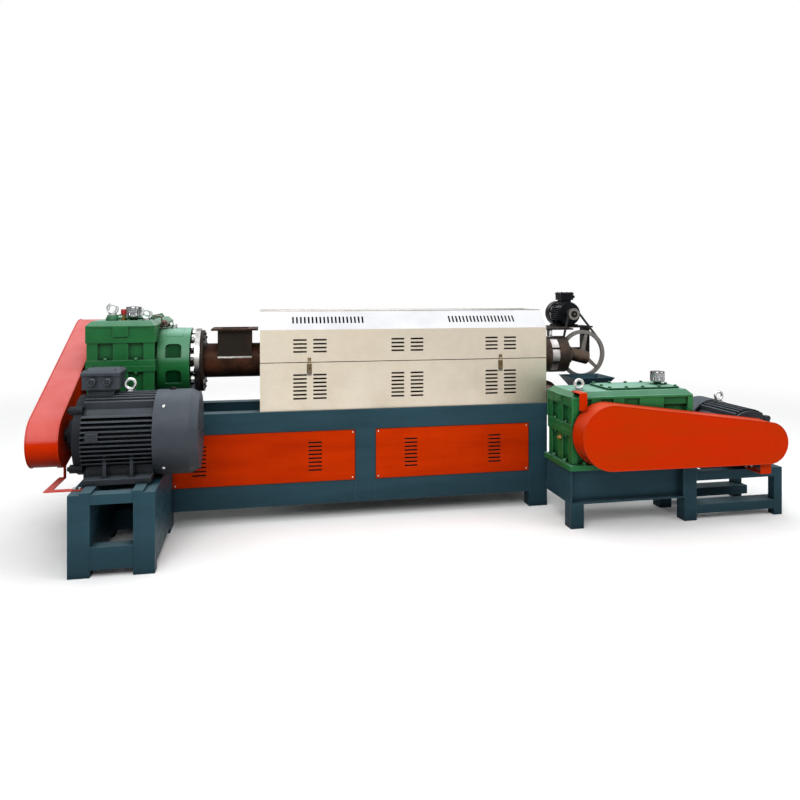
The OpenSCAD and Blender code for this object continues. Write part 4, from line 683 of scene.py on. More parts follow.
# Which nodes take which finish
finishes = {
    framePaint: ["frame_posts", "frame_top", "frame_bottom", "gearbox_bed", "motor_stand", "stage2_beams",
                 "stage2_legs", "stage2_motor_stand", "stage2_hopper", "stage2_barrel_stand"],
    panelPaint: ["front_panels", "rear_panels"],
    guardPaint: ["drive_belt_guard", "guard_bracket"],
    guard2Paint: ["stage2_belt_guard", "stage2_guard_straps"],
    gearPaint: ["gearbox_lower", "gearbox_upper", "gearbox_fittings", "thrust_housing",
                "stage2_gearbox_lower", "stage2_gearbox_upper", "stage2_fittings"],
    motorPaint: ["drive_motor_body", "stage2_motor_body", "stage2_motor_shield"],
    cowlPaint: ["drive_motor_cowl", "drive_motor_box", "stage2_motor_cowl"],
    darkMotorPaint: ["drive_motor_shield"],
    smallMotorPaint: ["changer_motor", "changer_motor_box"],
    sheetSteel: ["cover_front", "cover_rear", "cover_ends", "hinge_leaves", "lid_front", "lid_rear",
                 "lid_ends"],
    slopeSkySteel: ["lid_slopes"],
    ridgeReflectionSteel: ["lid_top"],
    flangeSteel: ["feed_screw"],
    collarSteel: ["barrel_flange"],
    plateSteel: ["screen_plate"],
    bandShadeSteel: ["heater_bands"],
    barrelIron: ["feed_flange", "barrel", "stage2_barrel"],
    feedIron: ["feed_barrel"],
    headIron: ["die_head"],
    spoutIron: ["discharge_spout"],
    bracketIron: ["changer_bracket"],
    wheelIron: ["changer_wheel", "motor_pulley"],
    zincPlate: ["lifting_eyes"],
    latchSteel: ["latch_levers", "lid_fittings"],
    beltBlack: ["changer_belt"],
}
for material, nodes in finishes.items():
    for node in nodes:
        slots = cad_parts[node].data.materials
        slots.clear()
        slots.append(material)
print("finishes:", len(bpy.data.materials), "materials")


# Small parts. A list of rows in a look is a profile, in the form that its function above takes.

# Screws at the corners of the vented panels
panelScrewLook = {"radius": 0.006, "height": 0.0036, "inset": 0.02}
postX = nodeEdges("frame_posts", 0)
panelLefts, panelRights = postX[[3, 5]], postX[[4, 6]]
panelLow, panelHigh = nodeBox("front_panels")
panelFront, panelBack = panelLow[1], nodeBox("rear_panels")[1][1]
inset = panelScrewLook["inset"]
screwX = np.concatenate([panelLefts + inset, panelRights - inset])
screwZ = [panelLow[2] + inset, panelHigh[2] - inset]
screw = panHead(panelScrewLook["radius"], panelScrewLook["height"])
addPiece("panelScrews", [stamped(screw, places(screwX, [panelFront], screwZ), (0, -1, 0)),
                         stamped(screw, places(screwX, [panelBack], screwZ), (0, 1, 0))], zincPlate)

# Rubber edging round the panels, dark as a painted shadow gap, and dark mats behind their slots as painted
# shade inside the frame
edgingShadowLook = {"radius": 0.0045, "step": 0.02, "shadeMat": 0.006, "behind": 0.02, "inset": 0.012, "corner": 0.1}
shadeMatRows = [(0, 0), (1, 0), (1, edgingShadowLook["shadeMat"]), (0, edgingShadowLook["shadeMat"])]
z0, z1 = panelLow[2], panelHigh[2]
shadowEdging, shadeMats = [], []
for x0, x1 in zip(panelLefts, panelRights):
    for y, inward in ((panelFront, 1), (panelBack, -1)):
        rim = [[x0, y, z0], [x1, y, z0], [x1, y, z1], [x0, y, z1], [x0, y, z0]]
        shadowEdging.append(swept(evenPath(rim, edgingShadowLook["step"])[:-1], roundSection(edgingShadowLook["radius"], 6),
                            (0, 1, 0), closed=True))
        shadeMat = block(x1 - x0 - 2 * edgingShadowLook["inset"], z1 - z0 - 2 * edgingShadowLook["inset"], shadeMatRows,
                    power=edgingShadowLook["corner"])
        shadeMats.append(stamped(shadeMat, [0.5 * (x0 + x1), y + inward * edgingShadowLook["behind"], 0.5 * (z0 + z1)],
                            (0, inward, 0)))
addPiece("panelShadowEdging", shadowEdging, beltBlack)
addPiece("slotShadeMats", shadeMats, slotShadeFelt)

# Bolts in the pockets of the two gearbox castings: along the split flange with nuts below, and along the
# feet. Pocket places are shares of the casting's length and width.
castingBoltLook = {"across": 0.024, "height": 0.016, "flange": 0.038, "inset": 0.0125, "footAcross": 0.03,
                   "footHeight": 0.02, "foot": 0.034, "footInset": 0.004, "footSpin": 0.4,
                   "longPockets": [0.1025, 0.2835, 0.4855, 0.803, 0.905], "endPockets": [0.28, 0.72]}


# Places in a casting's pockets: low + share (high - low) along its front and back, and so along its ends
def pocketRing(casting, alongX, inset):
    (x0, x1), (y0, y1) = [nodeEdges(casting, axis)[[1, -2]] for axis in (0, 1)]
    shares = [np.array(castingBoltLook[side]) for side in ("longPockets", "endPockets")]
    shareX, shareY = shares if alongX else shares[::-1]
    front = places(x0 + shareX * (x1 - x0), [y0 + inset, y1 - inset], [0])
    ends = places([x0 + inset, x1 - inset], y0 + shareY * (y1 - y0), [0])
    return np.concatenate([front, ends])


flangeBolts, flangeNuts, footBolts = [], [], []
for casting, alongX in (("gearbox_lower", False), ("stage2_gearbox_lower", True)):
    low, high = nodeBox(casting)
    ring = pocketRing(casting, alongX, castingBoltLook["inset"])
    footRing = pocketRing(casting, alongX, castingBoltLook["footInset"])
    flangeBolts.append(ring + [0, 0, high[2] + castingBoltLook["flange"]])
    flangeNuts.append(ring + [0, 0, high[2] - castingBoltLook["flange"]])
    footBolts.append(footRing + [0, 0, low[2] + castingBoltLook["foot"]])
head = boltHead(castingBoltLook["across"], castingBoltLook["height"])
nut = nutWithStud(castingBoltLook["across"], castingBoltLook["height"])
footHead = boltHead(castingBoltLook["footAcross"], castingBoltLook["footHeight"])
addPiece("castingFlangeBolts", [stamped(head, np.concatenate(flangeBolts), (0, 0, 1)),
                                stamped(nut, np.concatenate(flangeNuts), (0, 0, -1))], gearPaint)
addPiece("castingFootBolts", [stamped(footHead, np.concatenate(footBolts), (0, 0, 1),
                                      castingBoltLook["footSpin"])], gearPaint)

# Facings on the second gearbox's front and back: posts from the split flange up to a strip under the top edge
facingLook = {"posts": [(0.8685, 0.9127), (1.0055, 1.0736), (1.1646, 1.2415), (1.3538, 1.5333),
                        (1.7136, 1.7525)],
              "thick": 0.011, "strip": 0.017, "proud": 0.002, "sink": 0.004, "edge": 0.002, "face": 0.985,
              "corner": 0.08}


# Flat plate: a block that starts below its seat and draws in a little at its face
def facingPlate(width, height, thick):
    sink = facingLook["sink"]
    rows = [(0, -sink), (1, -sink), (1, thick - facingLook["edge"]), (facingLook["face"], thick), (0, thick)]
    return block(width, height, rows, power=facingLook["corner"])


posts, thick, strip = np.array(facingLook["posts"]), facingLook["thick"], facingLook["strip"]
upperY, upperZ = nodeEdges("stage2_gearbox_upper", 1), nodeEdges("stage2_gearbox_upper", 2)
z0, z1 = upperZ[1], upperZ[-2] - 0.5 * strip
facings = []
for y, outwards in ((upperY[0], -1), (upperY[-1], 1)):
    for x0, x1 in posts:
        facings.append(stamped(facingPlate(x1 - x0, z1 - z0, thick),
                               [0.5 * (x0 + x1), y, 0.5 * (z0 + z1)], (0, outwards, 0)))
    x0, x1 = posts[0, 0], posts[-1, 1]
    facings.append(stamped(facingPlate(x1 - x0, strip, thick + facingLook["proud"]),
                           [0.5 * (x0 + x1), y, z1], (0, outwards, 0)))
# The facings take the lighter copy of the gear paint, as painted light
addPiece("gearFacings", facings, litFacingPaint)

# Screws round the edges of the gearboxes' cover plates
coverScrewLook = {"across": 0.02, "height": 0.011, "inset": 0.018, "plate": 0.014, "long": 5, "short": 3}


# Even places round a cover plate between its inset corners, more of them along its longer sides
def plateRing(fittings, casting):
    deck = nodeBox(casting)[1][2] + coverScrewLook["plate"]
    low, high = levelBox(fittings, deck)
    low, high = low + coverScrewLook["inset"], high - coverScrewLook["inset"]
    counts = [coverScrewLook["long"], coverScrewLook["short"]]
    if high[0] - low[0] <= high[1] - low[1]:
        counts.reverse()
    x, y = [np.linspace(low[i], high[i], counts[i]) for i in (0, 1)]
    return np.concatenate([places(x, [low[1], high[1]], [deck]), places([low[0], high[0]], y[1:-1], [deck])])


coverScrews = np.concatenate([plateRing("gearbox_fittings", "gearbox_upper"),
                              plateRing("stage2_fittings", "stage2_gearbox_upper")])
head = boltHead(coverScrewLook["across"], coverScrewLook["height"])
addPiece("coverPlateScrews", [stamped(head, coverScrews, (0, 0, 1))], gearPaint)

# Knurled breather caps over the cast stems: shares of the radius, heights from the stem's top, and shares of
# the knurl
breatherLook = {"over": 0.006, "knurl": 0.004, "teeth": 18, "sides": 144,
                "cap": [(0.5, -0.068, 0), (0.94, -0.068, 0), (1, -0.063, 0), (1, -0.054, 0), (1, -0.052, 1),
                        (1, -0.02, 1), (1, -0.018, 0), (1, -0.005, 0), (0.96, 0.002, 0), (0.6, 0.003, 0),
                        (0.5, 0.005, 0), (0, 0.006, 0)]}
capPlaces = np.array([topCentre("gearbox_fittings"), topCentre("stage2_fittings")])
stemLow, stemHigh = levelBox("stage2_fittings", capPlaces[1, 2])
capRadius = 0.5 * (stemHigh[0] - stemLow[0]) + breatherLook["over"]
cap = knurled(np.array(breatherLook["cap"]) * [capRadius, 1, breatherLook["knurl"]], breatherLook["teeth"],
              breatherLook["sides"])
addPiece("breatherCaps", [stamped(cap, capPlaces, (0, 0, 1))], chromePlate)

# Red filler plug on a brass stem beside the first cap
plugLook = {"aside": 0.064, "teeth": 18, "sides": 72,
            "stem": [(0, 0, 0), (0.0168, 0, 1), (0.0168, 0.012, 1), (0.012, 0.013, 0), (0.012, 0.04, 0),
                     (0, 0.04, 0)],
            "cap": [(0, 0.04, 0), (0.019, 0.04, 0), (0.02, 0.043, 0.0015), (0.02, 0.07, 0.0015),
                    (0.018, 0.074, 0), (0, 0.075, 0)]}
gearTop = nodeBox("gearbox_upper")[1][2]
plugPlace = [capPlaces[0, 0] - plugLook["aside"], capPlaces[0, 1], gearTop]
plugCap = knurled(plugLook["cap"], plugLook["teeth"], plugLook["sides"])
addPiece("fillerStem", [stamped(hexagon(plugLook["stem"]), plugPlace, (0, 0, 1))], brass)
addPiece("fillerPlug", [stamped(plugCap, plugPlace, (0, 0, 1))], redCap)

# Drain plug on a post of the second gearbox's end
drainLook = {"across": 0.027, "height": 0.022, "sink": 0.003, "depthShare": 0.46, "above": 0.186}
gear2Low, gear2High = nodeBox("stage2_gearbox_lower")
drainPlace = [nodeEdges("stage2_gearbox_lower", 0)[2] + drainLook["sink"],
              gear2Low[1] + drainLook["depthShare"] * (gear2High[1] - gear2Low[1]),
              gear2Low[2] + drainLook["above"]]
drain = nutWithStud(drainLook["across"], drainLook["height"])
addPiece("drainPlug", [stamped(drain, drainPlace, (-1, 0, 0))], brass)

# Oil line on the thrust drum: a short pipe out of the casting's end wall, nuts on it, and an elbow down into
# the drum
oilLook = {"pipe": 0.009, "step": 0.006, "wall": 0.01, "above": 0.021, "ahead": 0.02, "elbow": 0.092,
           "ball": 0.0185, "elbowNuts": (-0.03, -0.006), "nutSpin": 0.3, "footSink": 0.004,
           "nut": [(0, 0, 0), (0.0138, 0, 0), (0.015, 0.002, 1), (0.015, 0.014, 1), (0.0138, 0.016, 0),
                   (0, 0.016, 0)]}
boxEnd = nodeEdges("gearbox_lower", 0)[-2]
oilY, oilZ = drumMid[1] - oilLook["ahead"], drumHigh[2] + oilLook["above"]
elbowX = boxEnd + oilLook["elbow"]
oilPath = evenPath([[boxEnd - oilLook["wall"], oilY, oilZ], [elbowX, oilY, oilZ]], oilLook["step"])
addPiece("oilPipe", [swept(oilPath, roundSection(oilLook["pipe"], 12), (0, 1, 0))], barrelIron)
oilNut = hexagon(oilLook["nut"])
tilt = np.linspace(-math.pi / 2, math.pi / 2, 9)
ball = turned(oilLook["ball"] * np.stack([np.cos(tilt), np.sin(tilt)], -1), 20)
elbowNuts = places(elbowX + np.array(oilLook["elbowNuts"]), [oilY], [oilZ])
addPiece("oilNuts", [stamped(oilNut, [elbowX, oilY, drumHigh[2] - oilLook["footSink"]], (0, 0, 1)),
                     stamped(oilNut, elbowNuts, (1, 0, 0), oilLook["nutSpin"]),
                     stamped(ball, [elbowX, oilY, oilZ], (0, 0, 1))], zincPlate)

# Valve on the oil line: a body between two nuts, a leaning spindle and its knob
valveLook = {"along": 0.024, "nuts": (-0.002, 0.034), "width": 0.026, "depth": 0.03, "lean": (0, -0.45, 0.9),
             "body": [(0, -0.015), (0.9, -0.015), (1, -0.012), (1, 0.012), (0.9, 0.015), (0, 0.015)],
             "spindle": [(0, 0), (0.007, 0), (0.007, 0.026), (0, 0.026)],
             "knob": [(0, 0.02, 0), (0.015, 0.02, 0), (0.018, 0.022, 0.002), (0.018, 0.031, 0.002),
                      (0.014, 0.034, 0), (0, 0.034, 0)], "teeth": 10, "sides": 40}
valvePlace = [boxEnd + valveLook["along"], oilY, oilZ]
valveNuts = places(boxEnd + np.array(valveLook["nuts"]), [oilY], [oilZ])
valveBody = block(valveLook["width"], valveLook["depth"], valveLook["body"])
addPiece("oilValve", [stamped(oilNut, valveNuts, (1, 0, 0)), stamped(valveBody, valvePlace, (0, 0, 1)),
                      stamped(turned(valveLook["spindle"], 12), valvePlace, valveLook["lean"])], bandShadeSteel)

# Thin feed pipe from the casting's top, over in a half round z = rise sin a, and down to the valve
feedPipeLook = {"radius": 0.0055, "step": 0.005, "back": 0.018, "half": 0.026, "rise": 0.016, "above": 0.012,
                "sink": 0.006, "ahead": 0.03, "dropAhead": 0.024, "dropAbove": 0.01, "valve": 0.026}
bend = np.linspace(0, math.pi, 13)
feedX = boxEnd - feedPipeLook["back"] + feedPipeLook["half"] * np.cos(bend[::-1])
feedZ = gearTop + feedPipeLook["above"] + feedPipeLook["rise"] * np.sin(bend)
feedY = oilY - feedPipeLook["ahead"]
feedCorners = np.concatenate([
    [[feedX[0], feedY, gearTop - feedPipeLook["sink"]]],
    np.column_stack([feedX, np.full(len(bend), feedY), feedZ]),
    [[feedX[-1], oilY - feedPipeLook["dropAhead"], oilZ + feedPipeLook["dropAbove"]],
     [boxEnd + feedPipeLook["valve"], oilY, oilZ]]])
addPiece("oilFeed", [swept(evenPath(feedCorners, feedPipeLook["step"]),
                           roundSection(feedPipeLook["radius"], 10), (0, 1, 0))], latchSteel)
knob = knurled(valveLook["knob"], valveLook["teeth"], valveLook["sides"])
addPiece("valveKnob", [stamped(knob, valvePlace, valveLook["lean"])], knobPlastic)

# Large hexagon heads between the thrust drum and the steel flange, and nuts on the feed barrel's disc
ringBoltLook = {"count": 16, "across": 0.044, "height": 0.027, "radius": 0.198, "nutAcross": 0.017,
                "nutHeight": 0.006, "nutRadius": 0.19}
barrelAxis = drumMid * [0, 1, 1]


# Angles of a ring of things, half a step off level
def evenTurns(count):
    return (np.arange(count) + 0.5) * 2 * math.pi / count


# Places on a circle about the barrel axis: y = r cos a, z = r sin a
def circle(x, radius, angles):
    return barrelAxis + np.stack([0 * angles + x, radius * np.cos(angles), radius * np.sin(angles)], -1)


around = evenTurns(ringBoltLook["count"])
flangeSpots = circle(nodeEdges("barrel_flange", 0)[1], ringBoltLook["radius"], around)
feedSpots = circle(nodeEdges("feed_barrel", 0)[1], ringBoltLook["nutRadius"], around)
head = boltHead(ringBoltLook["across"], ringBoltLook["height"])
nut = nutWithStud(ringBoltLook["nutAcross"], ringBoltLook["nutHeight"])
addPiece("flangeHeads", [stamped(head, flangeSpots, (-1, 0, 0), around)], zincPlate)
addPiece("feedFlangeNuts", [stamped(nut, feedSpots, (1, 0, 0), around)], blackBolt)

# Dark plates on the floors of the drum's windows, as painted shade in the windows
windowLook = {"count": 8, "width": 0.094, "floor": 0.214, "thick": 0.0015, "sink": 0.002, "corner": 0.22}
windowTurn = evenTurns(windowLook["count"])
windowOut = np.stack([0 * windowTurn, np.cos(windowTurn), np.sin(windowTurn)], -1)
windowRows = [(0, -windowLook["sink"]), (1, -windowLook["sink"]), (1, windowLook["thick"]),
              (0, windowLook["thick"])]
windowPlate = block(windowLook["width"], windowLook["width"], windowRows, power=windowLook["corner"])
addPiece("windowFloorShade", [stamped(windowPlate, drumMid + windowLook["floor"] * windowOut, windowOut)],
         windowShadePaint)

# Thin curved plates that close the drum's two topmost windows
blankLook = {"middles": (67.5, 112.5), "half": 17.0, "width": 0.118, "thick": 0.004, "proud": 0.001}
blankRadius = drumHigh[2] - drumMid[2] + blankLook["proud"] - blankLook["thick"] / 2
blanks = []
for middle in blankLook["middles"]:
    bend = np.radians(np.linspace(middle - blankLook["half"], middle + blankLook["half"], 25))
    arc = np.stack([0 * bend, np.cos(bend), np.sin(bend)], -1)
    blanks.append(swept(drumMid + blankRadius * arc, flatSection(blankLook["thick"], blankLook["width"]),
                        (1, 0, 0)))
addPiece("windowBlanks", blanks, gearPaint)

# Welds along the foot of the feed throat
weldLook = {"radius": 0.007, "ripple": 0.26, "pitch": 0.011, "step": 0.0022}


# Weld bead: a circle carried along a line, its radius swelling as a sine of the running length
def weldBead(corners, lift, radius):
    path = evenPath(corners, weldLook["step"])
    run = np.arange(len(path)) * weldLook["step"]
    swell = 1 + weldLook["ripple"] * np.sin(2 * math.pi * run / weldLook["pitch"])
    return swept(path, roundSection(radius), lift, swell=swell)


throatLook = {"width": 0.233, "barrelRadius": 0.12}
throatX, throatY = 0.5 * np.add(*nodeBox("feed_flange"))[:2]
half = throatLook["width"] / 2
seamZ = barrelAxis[2] + math.sqrt(throatLook["barrelRadius"] ** 2 - half ** 2)
seams = [weldBead([[throatX - half, y, seamZ], [throatX + half, y, seamZ]], (0, 0, 1), weldLook["radius"])
         for y in (throatY - half, throatY + half)]
addPiece("throatWelds", seams, seamSteel)

# Painted seams where the motor stand's rails meet its posts
standLook = {"post": 0.115, "bead": 0.0032, "end": 0.003}
standX, standZ = nodeEdges("motor_stand", 0), nodeEdges("motor_stand", 2)
standFront = nodeBox("motor_stand")[0][1]
seams = [weldBead([[x, standFront, z0 + standLook["end"]], [x, standFront, z1 - standLook["end"]]], (1, 0, 0),
                  standLook["bead"])
         for x in (standX[0] + standLook["post"], standX[-1] - standLook["post"])
         for z0, z1 in (standZ[[1, 2]], standZ[[3, 4]])]
addPiece("standSeams", seams, framePaint)

# Screws through the fan cowls
cowlScrewLook = {"radius": 0.011, "height": 0.006, "alongShare": 0.22}
quarters = evenTurns(4)


# Places and outward axes on a cowl: middle + radius (cos a, sin a), a share of its length from its low end
def cowlCorners(node, along):
    low, high = nodeBox(node)
    out = np.insert(np.stack([np.cos(quarters), np.sin(quarters)], -1), along, 0, axis=1)
    spots = 0.5 * (low + high) + 0.5 * (high[2] - low[2]) * out
    spots[:, along] = low[along] + cowlScrewLook["alongShare"] * (high[along] - low[along])
    return spots, out


screw = panHead(cowlScrewLook["radius"], cowlScrewLook["height"])
addPiece("cowlScrews", [stamped(screw, *cowlCorners("drive_motor_cowl", 0)),
                        stamped(screw, *cowlCorners("stage2_motor_cowl", 1))], zincPlate)

# Lid screws of the terminal boxes
boxScrewLook = {"radius": 0.0075, "height": 0.004, "inset": 0.013,
                "sizeShares": {"drive_motor_box": 1.0, "changer_motor_box": 0.5}}
boxScrews = []
for node, share in boxScrewLook["sizeShares"].items():
    deckLow, deckHigh = levelBox(node, nodeBox(node)[1][2])
    inset = share * boxScrewLook["inset"]
    spots = places([deckLow[0] + inset, deckHigh[0] - inset], [deckLow[1] + inset, deckHigh[1] - inset],
                   [deckHigh[2]])
    screw = panHead(share * boxScrewLook["radius"], boxScrewLook["height"])
    boxScrews.append(stamped(screw, spots, (0, 0, 1)))
addPiece("boxScrews", boxScrews, blackBolt)

# Blanking plugs in the terminal box's two cable entries: a ring with a dished middle, as shares of the radius
# and heights
glandLook = {"fit": 0.49, "dish": [(0, -0.002), (1, -0.002), (1, 0.0049), (0.92, 0.007), (0.7, 0.007),
                                   (0.62, 0.0007), (0.3, 0.0007), (0.27, 0.0056), (0, 0.0056)]}
entries = nodePoints("drive_motor_box")
entries = entries[entries[:, 1] < entries[:, 1].min() + 0.0005]
split = 0.5 * (entries[:, 0].min() + entries[:, 0].max())
glands = []
for entry in (entries[entries[:, 0] < split], entries[entries[:, 0] > split]):
    low, high = entry.min(0), entry.max(0)
    dish = turned(np.array(glandLook["dish"]) * [glandLook["fit"] * (high[0] - low[0]), 1], 32)
    glands.append(stamped(dish, 0.5 * (low + high), (0, -1, 0)))
addPiece("glandPlugs", glands, motorPaint)

# Foot bolts of the two drive motors
footLook = {"across": 0.03, "height": 0.018, "inset": 0.036}
feet = []
for node in ("drive_motor_body", "stage2_motor_body"):
    low, high = levelBox(node, nodeBox(node)[0][2])
    low, high = low + footLook["inset"], high - footLook["inset"]
    feet.append(places([low[0], high[0]], [low[1], high[1]], [nodeEdges(node, 2)[1]]))
addPiece("motorFootBolts", [stamped(boltHead(footLook["across"], footLook["height"]), np.concatenate(feet),
                                    (0, 0, 1))], zincPlate)

# Bolts in the lugs of the first motor's end shield
shieldLook = {"across": 0.024, "height": 0.014, "lug": 0.0693}
shieldLow, shieldHigh = nodeBox("drive_motor_shield")
shieldMid = 0.5 * (shieldLow + shieldHigh)
shieldRadius = 0.5 * (shieldHigh[2] - shieldLow[2])
lugs = shieldMid + shieldRadius * np.stack([0 * quarters, np.cos(quarters), np.sin(quarters)], -1)
lugs[:, 0] = shieldHigh[0] - shieldLook["lug"]
addPiece("shieldBolts", [stamped(boltHead(shieldLook["across"], shieldLook["height"]), lugs, (-1, 0, 0))],
         blackBolt)

# Blank boss on the first motor's fins and the grease plug on its cowl
bossLook = {"x": -2.083, "z": 0.741, "width": 0.068, "height": 0.048, "corner": 0.2,
            "rows": [(0, -0.02), (1, -0.02), (1, 0.003), (0.96, 0.005), (0, 0.005)]}
greaseLook = {"x": -1.67,
              "plug": [(0, -0.004), (0.018, -0.004), (0.018, 0.0072), (0.0126, 0.012), (0, 0.012)]}
bossFront = nodeBox("drive_motor_body")[0][1]
boss = block(bossLook["width"], bossLook["height"], bossLook["rows"], power=bossLook["corner"])
addPiece("motorBoss", [stamped(boss, [bossLook["x"], bossFront, bossLook["z"]], (0, -1, 0))], motorPaint)
cowlTop = nodeBox("drive_motor_cowl")[1][2]
greasePlace = [greaseLook["x"], shieldMid[1], cowlTop]
addPiece("cowlPlug", [stamped(turned(greaseLook["plug"]), greasePlace, (0, 0, 1))], blackBolt)

# Rolled edges of the belt guards, on their outlines: centre and radius of each end
guardEdgeLook = {"radius": 0.004, "inset": 0.002, "first": ((-0.5625, 0.69), 0.157, (0.5075, 1.082), 0.28),
                 "second": ((1.0735, 0.627), 0.209, (2.2135, 0.549), 0.138)}


# Beads round a guard's two faces: a circle carried round its outline, set at each face along one axis
def guardBeads(node, axis, outline):
    low, high = nodeBox(node)
    faces = low[axis] + guardEdgeLook["inset"], high[axis] - guardEdgeLook["inset"]
    section = roundSection(guardEdgeLook["radius"])
    paths = [np.insert(racetrack(*outline), axis, face, axis=1) for face in faces]
    return [swept(path, section, np.eye(3)[axis], closed=True) for path in paths]


addPiece("guardEdges", guardBeads("drive_belt_guard", 0, guardEdgeLook["first"]), guardPaint)
addPiece("guard2Edges", guardBeads("stage2_belt_guard", 1, guardEdgeLook["second"]), guard2Paint)

# Bolts of the guard straps and of the guard bracket's foot
strapLook = {"across": 0.019, "height": 0.011, "fromEnd": (0.06, 0.02), "y": -0.7, "z": 0.339,
             "footFromEnd": (0.04, 0.015), "footInset": 0.02}
strapEnd = nodeBox("stage2_guard_straps")[1][0]
footLow, footHigh = nodeBox("guard_bracket")
strapSpots = places(strapEnd - np.array(strapLook["fromEnd"]), [strapLook["y"]], [strapLook["z"]])
footSpots = places(footHigh[0] - np.array(strapLook["footFromEnd"]), [footLow[1] + strapLook["footInset"]],
                   [nodeEdges("guard_bracket", 2)[1]])
head = boltHead(strapLook["across"], strapLook["height"])
addPiece("strapBolts", [stamped(head, strapSpots, (0, 0, 1)), stamped(head, footSpots, (0, 0, 1))], zincPlate)

# Bearing cover on the second gearbox's front, mostly behind the guard
bearingLook = {"x": 1.458, "cover": [(0, -0.002), (0.143, -0.002), (0.143, 0.016), (0.139, 0.02),
                                     (0.08866, 0.02), (0.08294, 0.026), (0, 0.026)]}
bearingPlace = [bearingLook["x"], nodeEdges("stage2_gearbox_lower", 1)[1], gear2High[2]]
addPiece("bearingCover", [stamped(turned(bearingLook["cover"], 64), bearingPlace, (0, -1, 0))], bandShadeSteel)

# Toggle latches: wire bails from the levers up over the keepers, and their rivets. A bail's outline is in
# shares of its half width, from its low or its high end.
bailLook = {"wire": 0.0022, "half": 0.0085, "low": 1.03, "high": 1.104, "proud": 0.0035,
            "top": [(-1, -1), (-0.7, -0.3), (0, 0), (0.7, -0.3), (1, -1)],
            "foot": [(1, 0), (0.7, -0.7), (0, -1), (-0.7, -0.7), (-1, 0)]}
rivetLook = {"radius": 0.0045, "height": 0.003, "apart": 0.012, "plate": 0.003, "z": 1.0}
latchX = nodeEdges("latch_levers", 0)
bailY = nodeBox("latch_levers")[0][1] - bailLook["proud"]
rivetY = nodeBox("cover_front")[0][1] - rivetLook["plate"]
wire = np.concatenate([bailLook["half"] * np.array(bailLook["foot"][-1:]) + [0, bailLook["low"]],
                       bailLook["half"] * np.array(bailLook["top"]) + [0, bailLook["high"]],
                       bailLook["half"] * np.array(bailLook["foot"][:-1]) + [0, bailLook["low"]]])
bails, rivets = [], []
for middle in (latchX[latchX < 0].mean(), latchX[latchX > 0].mean()):
    loop = np.insert(wire + [middle, 0], 1, bailY, axis=1)
    bails.append(swept(loop, roundSection(bailLook["wire"]), (0, 1, 0), closed=True))
    rivetX = [middle - rivetLook["apart"], middle + rivetLook["apart"]]
    rivets.append(places(rivetX, [rivetY], [rivetLook["z"]]))
addPiece("latchBails", bails, brass)
rivet = panHead(rivetLook["radius"], rivetLook["height"])
addPiece("latchRivets", [stamped(rivet, np.concatenate(rivets), (0, -1, 0))], zincPlate)

# Rolled hems along the lid's two top edges, riding on the lid
hemLook = {"radius": 0.0034, "sink": 0.001, "step": 0.05}
topLow, topHigh = nodeBox("lid_top")
hemZ = topHigh[2] - hemLook["sink"]
hems = [swept(evenPath([[topLow[0], y, hemZ], [topHigh[0], y, hemZ]], hemLook["step"]),
              roundSection(hemLook["radius"]), (0, 0, 1)) for y in (topLow[1], topHigh[1])]
addPiece("lidHems", hems, ridgeReflectionSteel, body="lid")

# Clamps on the heater bands, under the lid
clampLook = {"width": 0.03, "depth": 0.022, "height": 0.02, "fromEnd": 0.03, "angle": 118.0,
             "rows": [(0, -0.004), (1, -0.004), (1, 0.017), (0.86, 0.02), (0, 0.02)], "bolt": 0.014,
             "boltHeight": 0.01, "bandGap": 0.002}
bandX = nodeEdges("heater_bands", 0)
bandX = bandX[np.concatenate([[True], np.diff(bandX) > clampLook["bandGap"]])].reshape(-1, 2)
bandLow, bandHigh = nodeBox("heater_bands")
lean = math.radians(clampLook["angle"])
clampOut = np.array([0, math.cos(lean), math.sin(lean)])
clampX = np.concatenate([bandX[:, 0] + clampLook["fromEnd"], bandX[:, 1] - clampLook["fromEnd"]])
clampSpots = circle(clampX, 0.5 * (bandHigh[2] - bandLow[2]), np.full(len(clampX), lean))
clamp = block(clampLook["width"], clampLook["depth"], clampLook["rows"])
clampBolt = boltHead(clampLook["bolt"], clampLook["boltHeight"])
addPiece("bandClamps", [stamped(clamp, clampSpots, clampOut)], bandShadeSteel)
addPiece("clampBolts", [stamped(clampBolt, clampSpots + clampLook["height"] * clampOut, clampOut)], blackBolt)

# Screen changer: socket screws in the die head's end, and tie rods over the screen plate
headBoltLook = {"count": 8, "radius": 0.0125, "height": 0.014, "ring": 0.119, "rod": 0.008, "rodRing": 0.1372}
headEnd = nodeBox("die_head")[1][0]
screenLow, screenHigh = nodeBox("screen_plate")
around = evenTurns(headBoltLook["count"])
screw = socketHead(headBoltLook["radius"], headBoltLook["height"])
addPiece("headScrews", [stamped(screw, circle(headEnd, headBoltLook["ring"], around), (1, 0, 0))], blackBolt)
span = screenHigh[0] - screenLow[0]
rod = turned([(0, 0), (headBoltLook["rod"], 0), (headBoltLook["rod"], span), (0, span)], 12)
rodSpots = circle(screenLow[0], headBoltLook["rodRing"], around)
addPiece("tieRods", [stamped(rod, rodSpots, (1, 0, 0))], blackBolt)

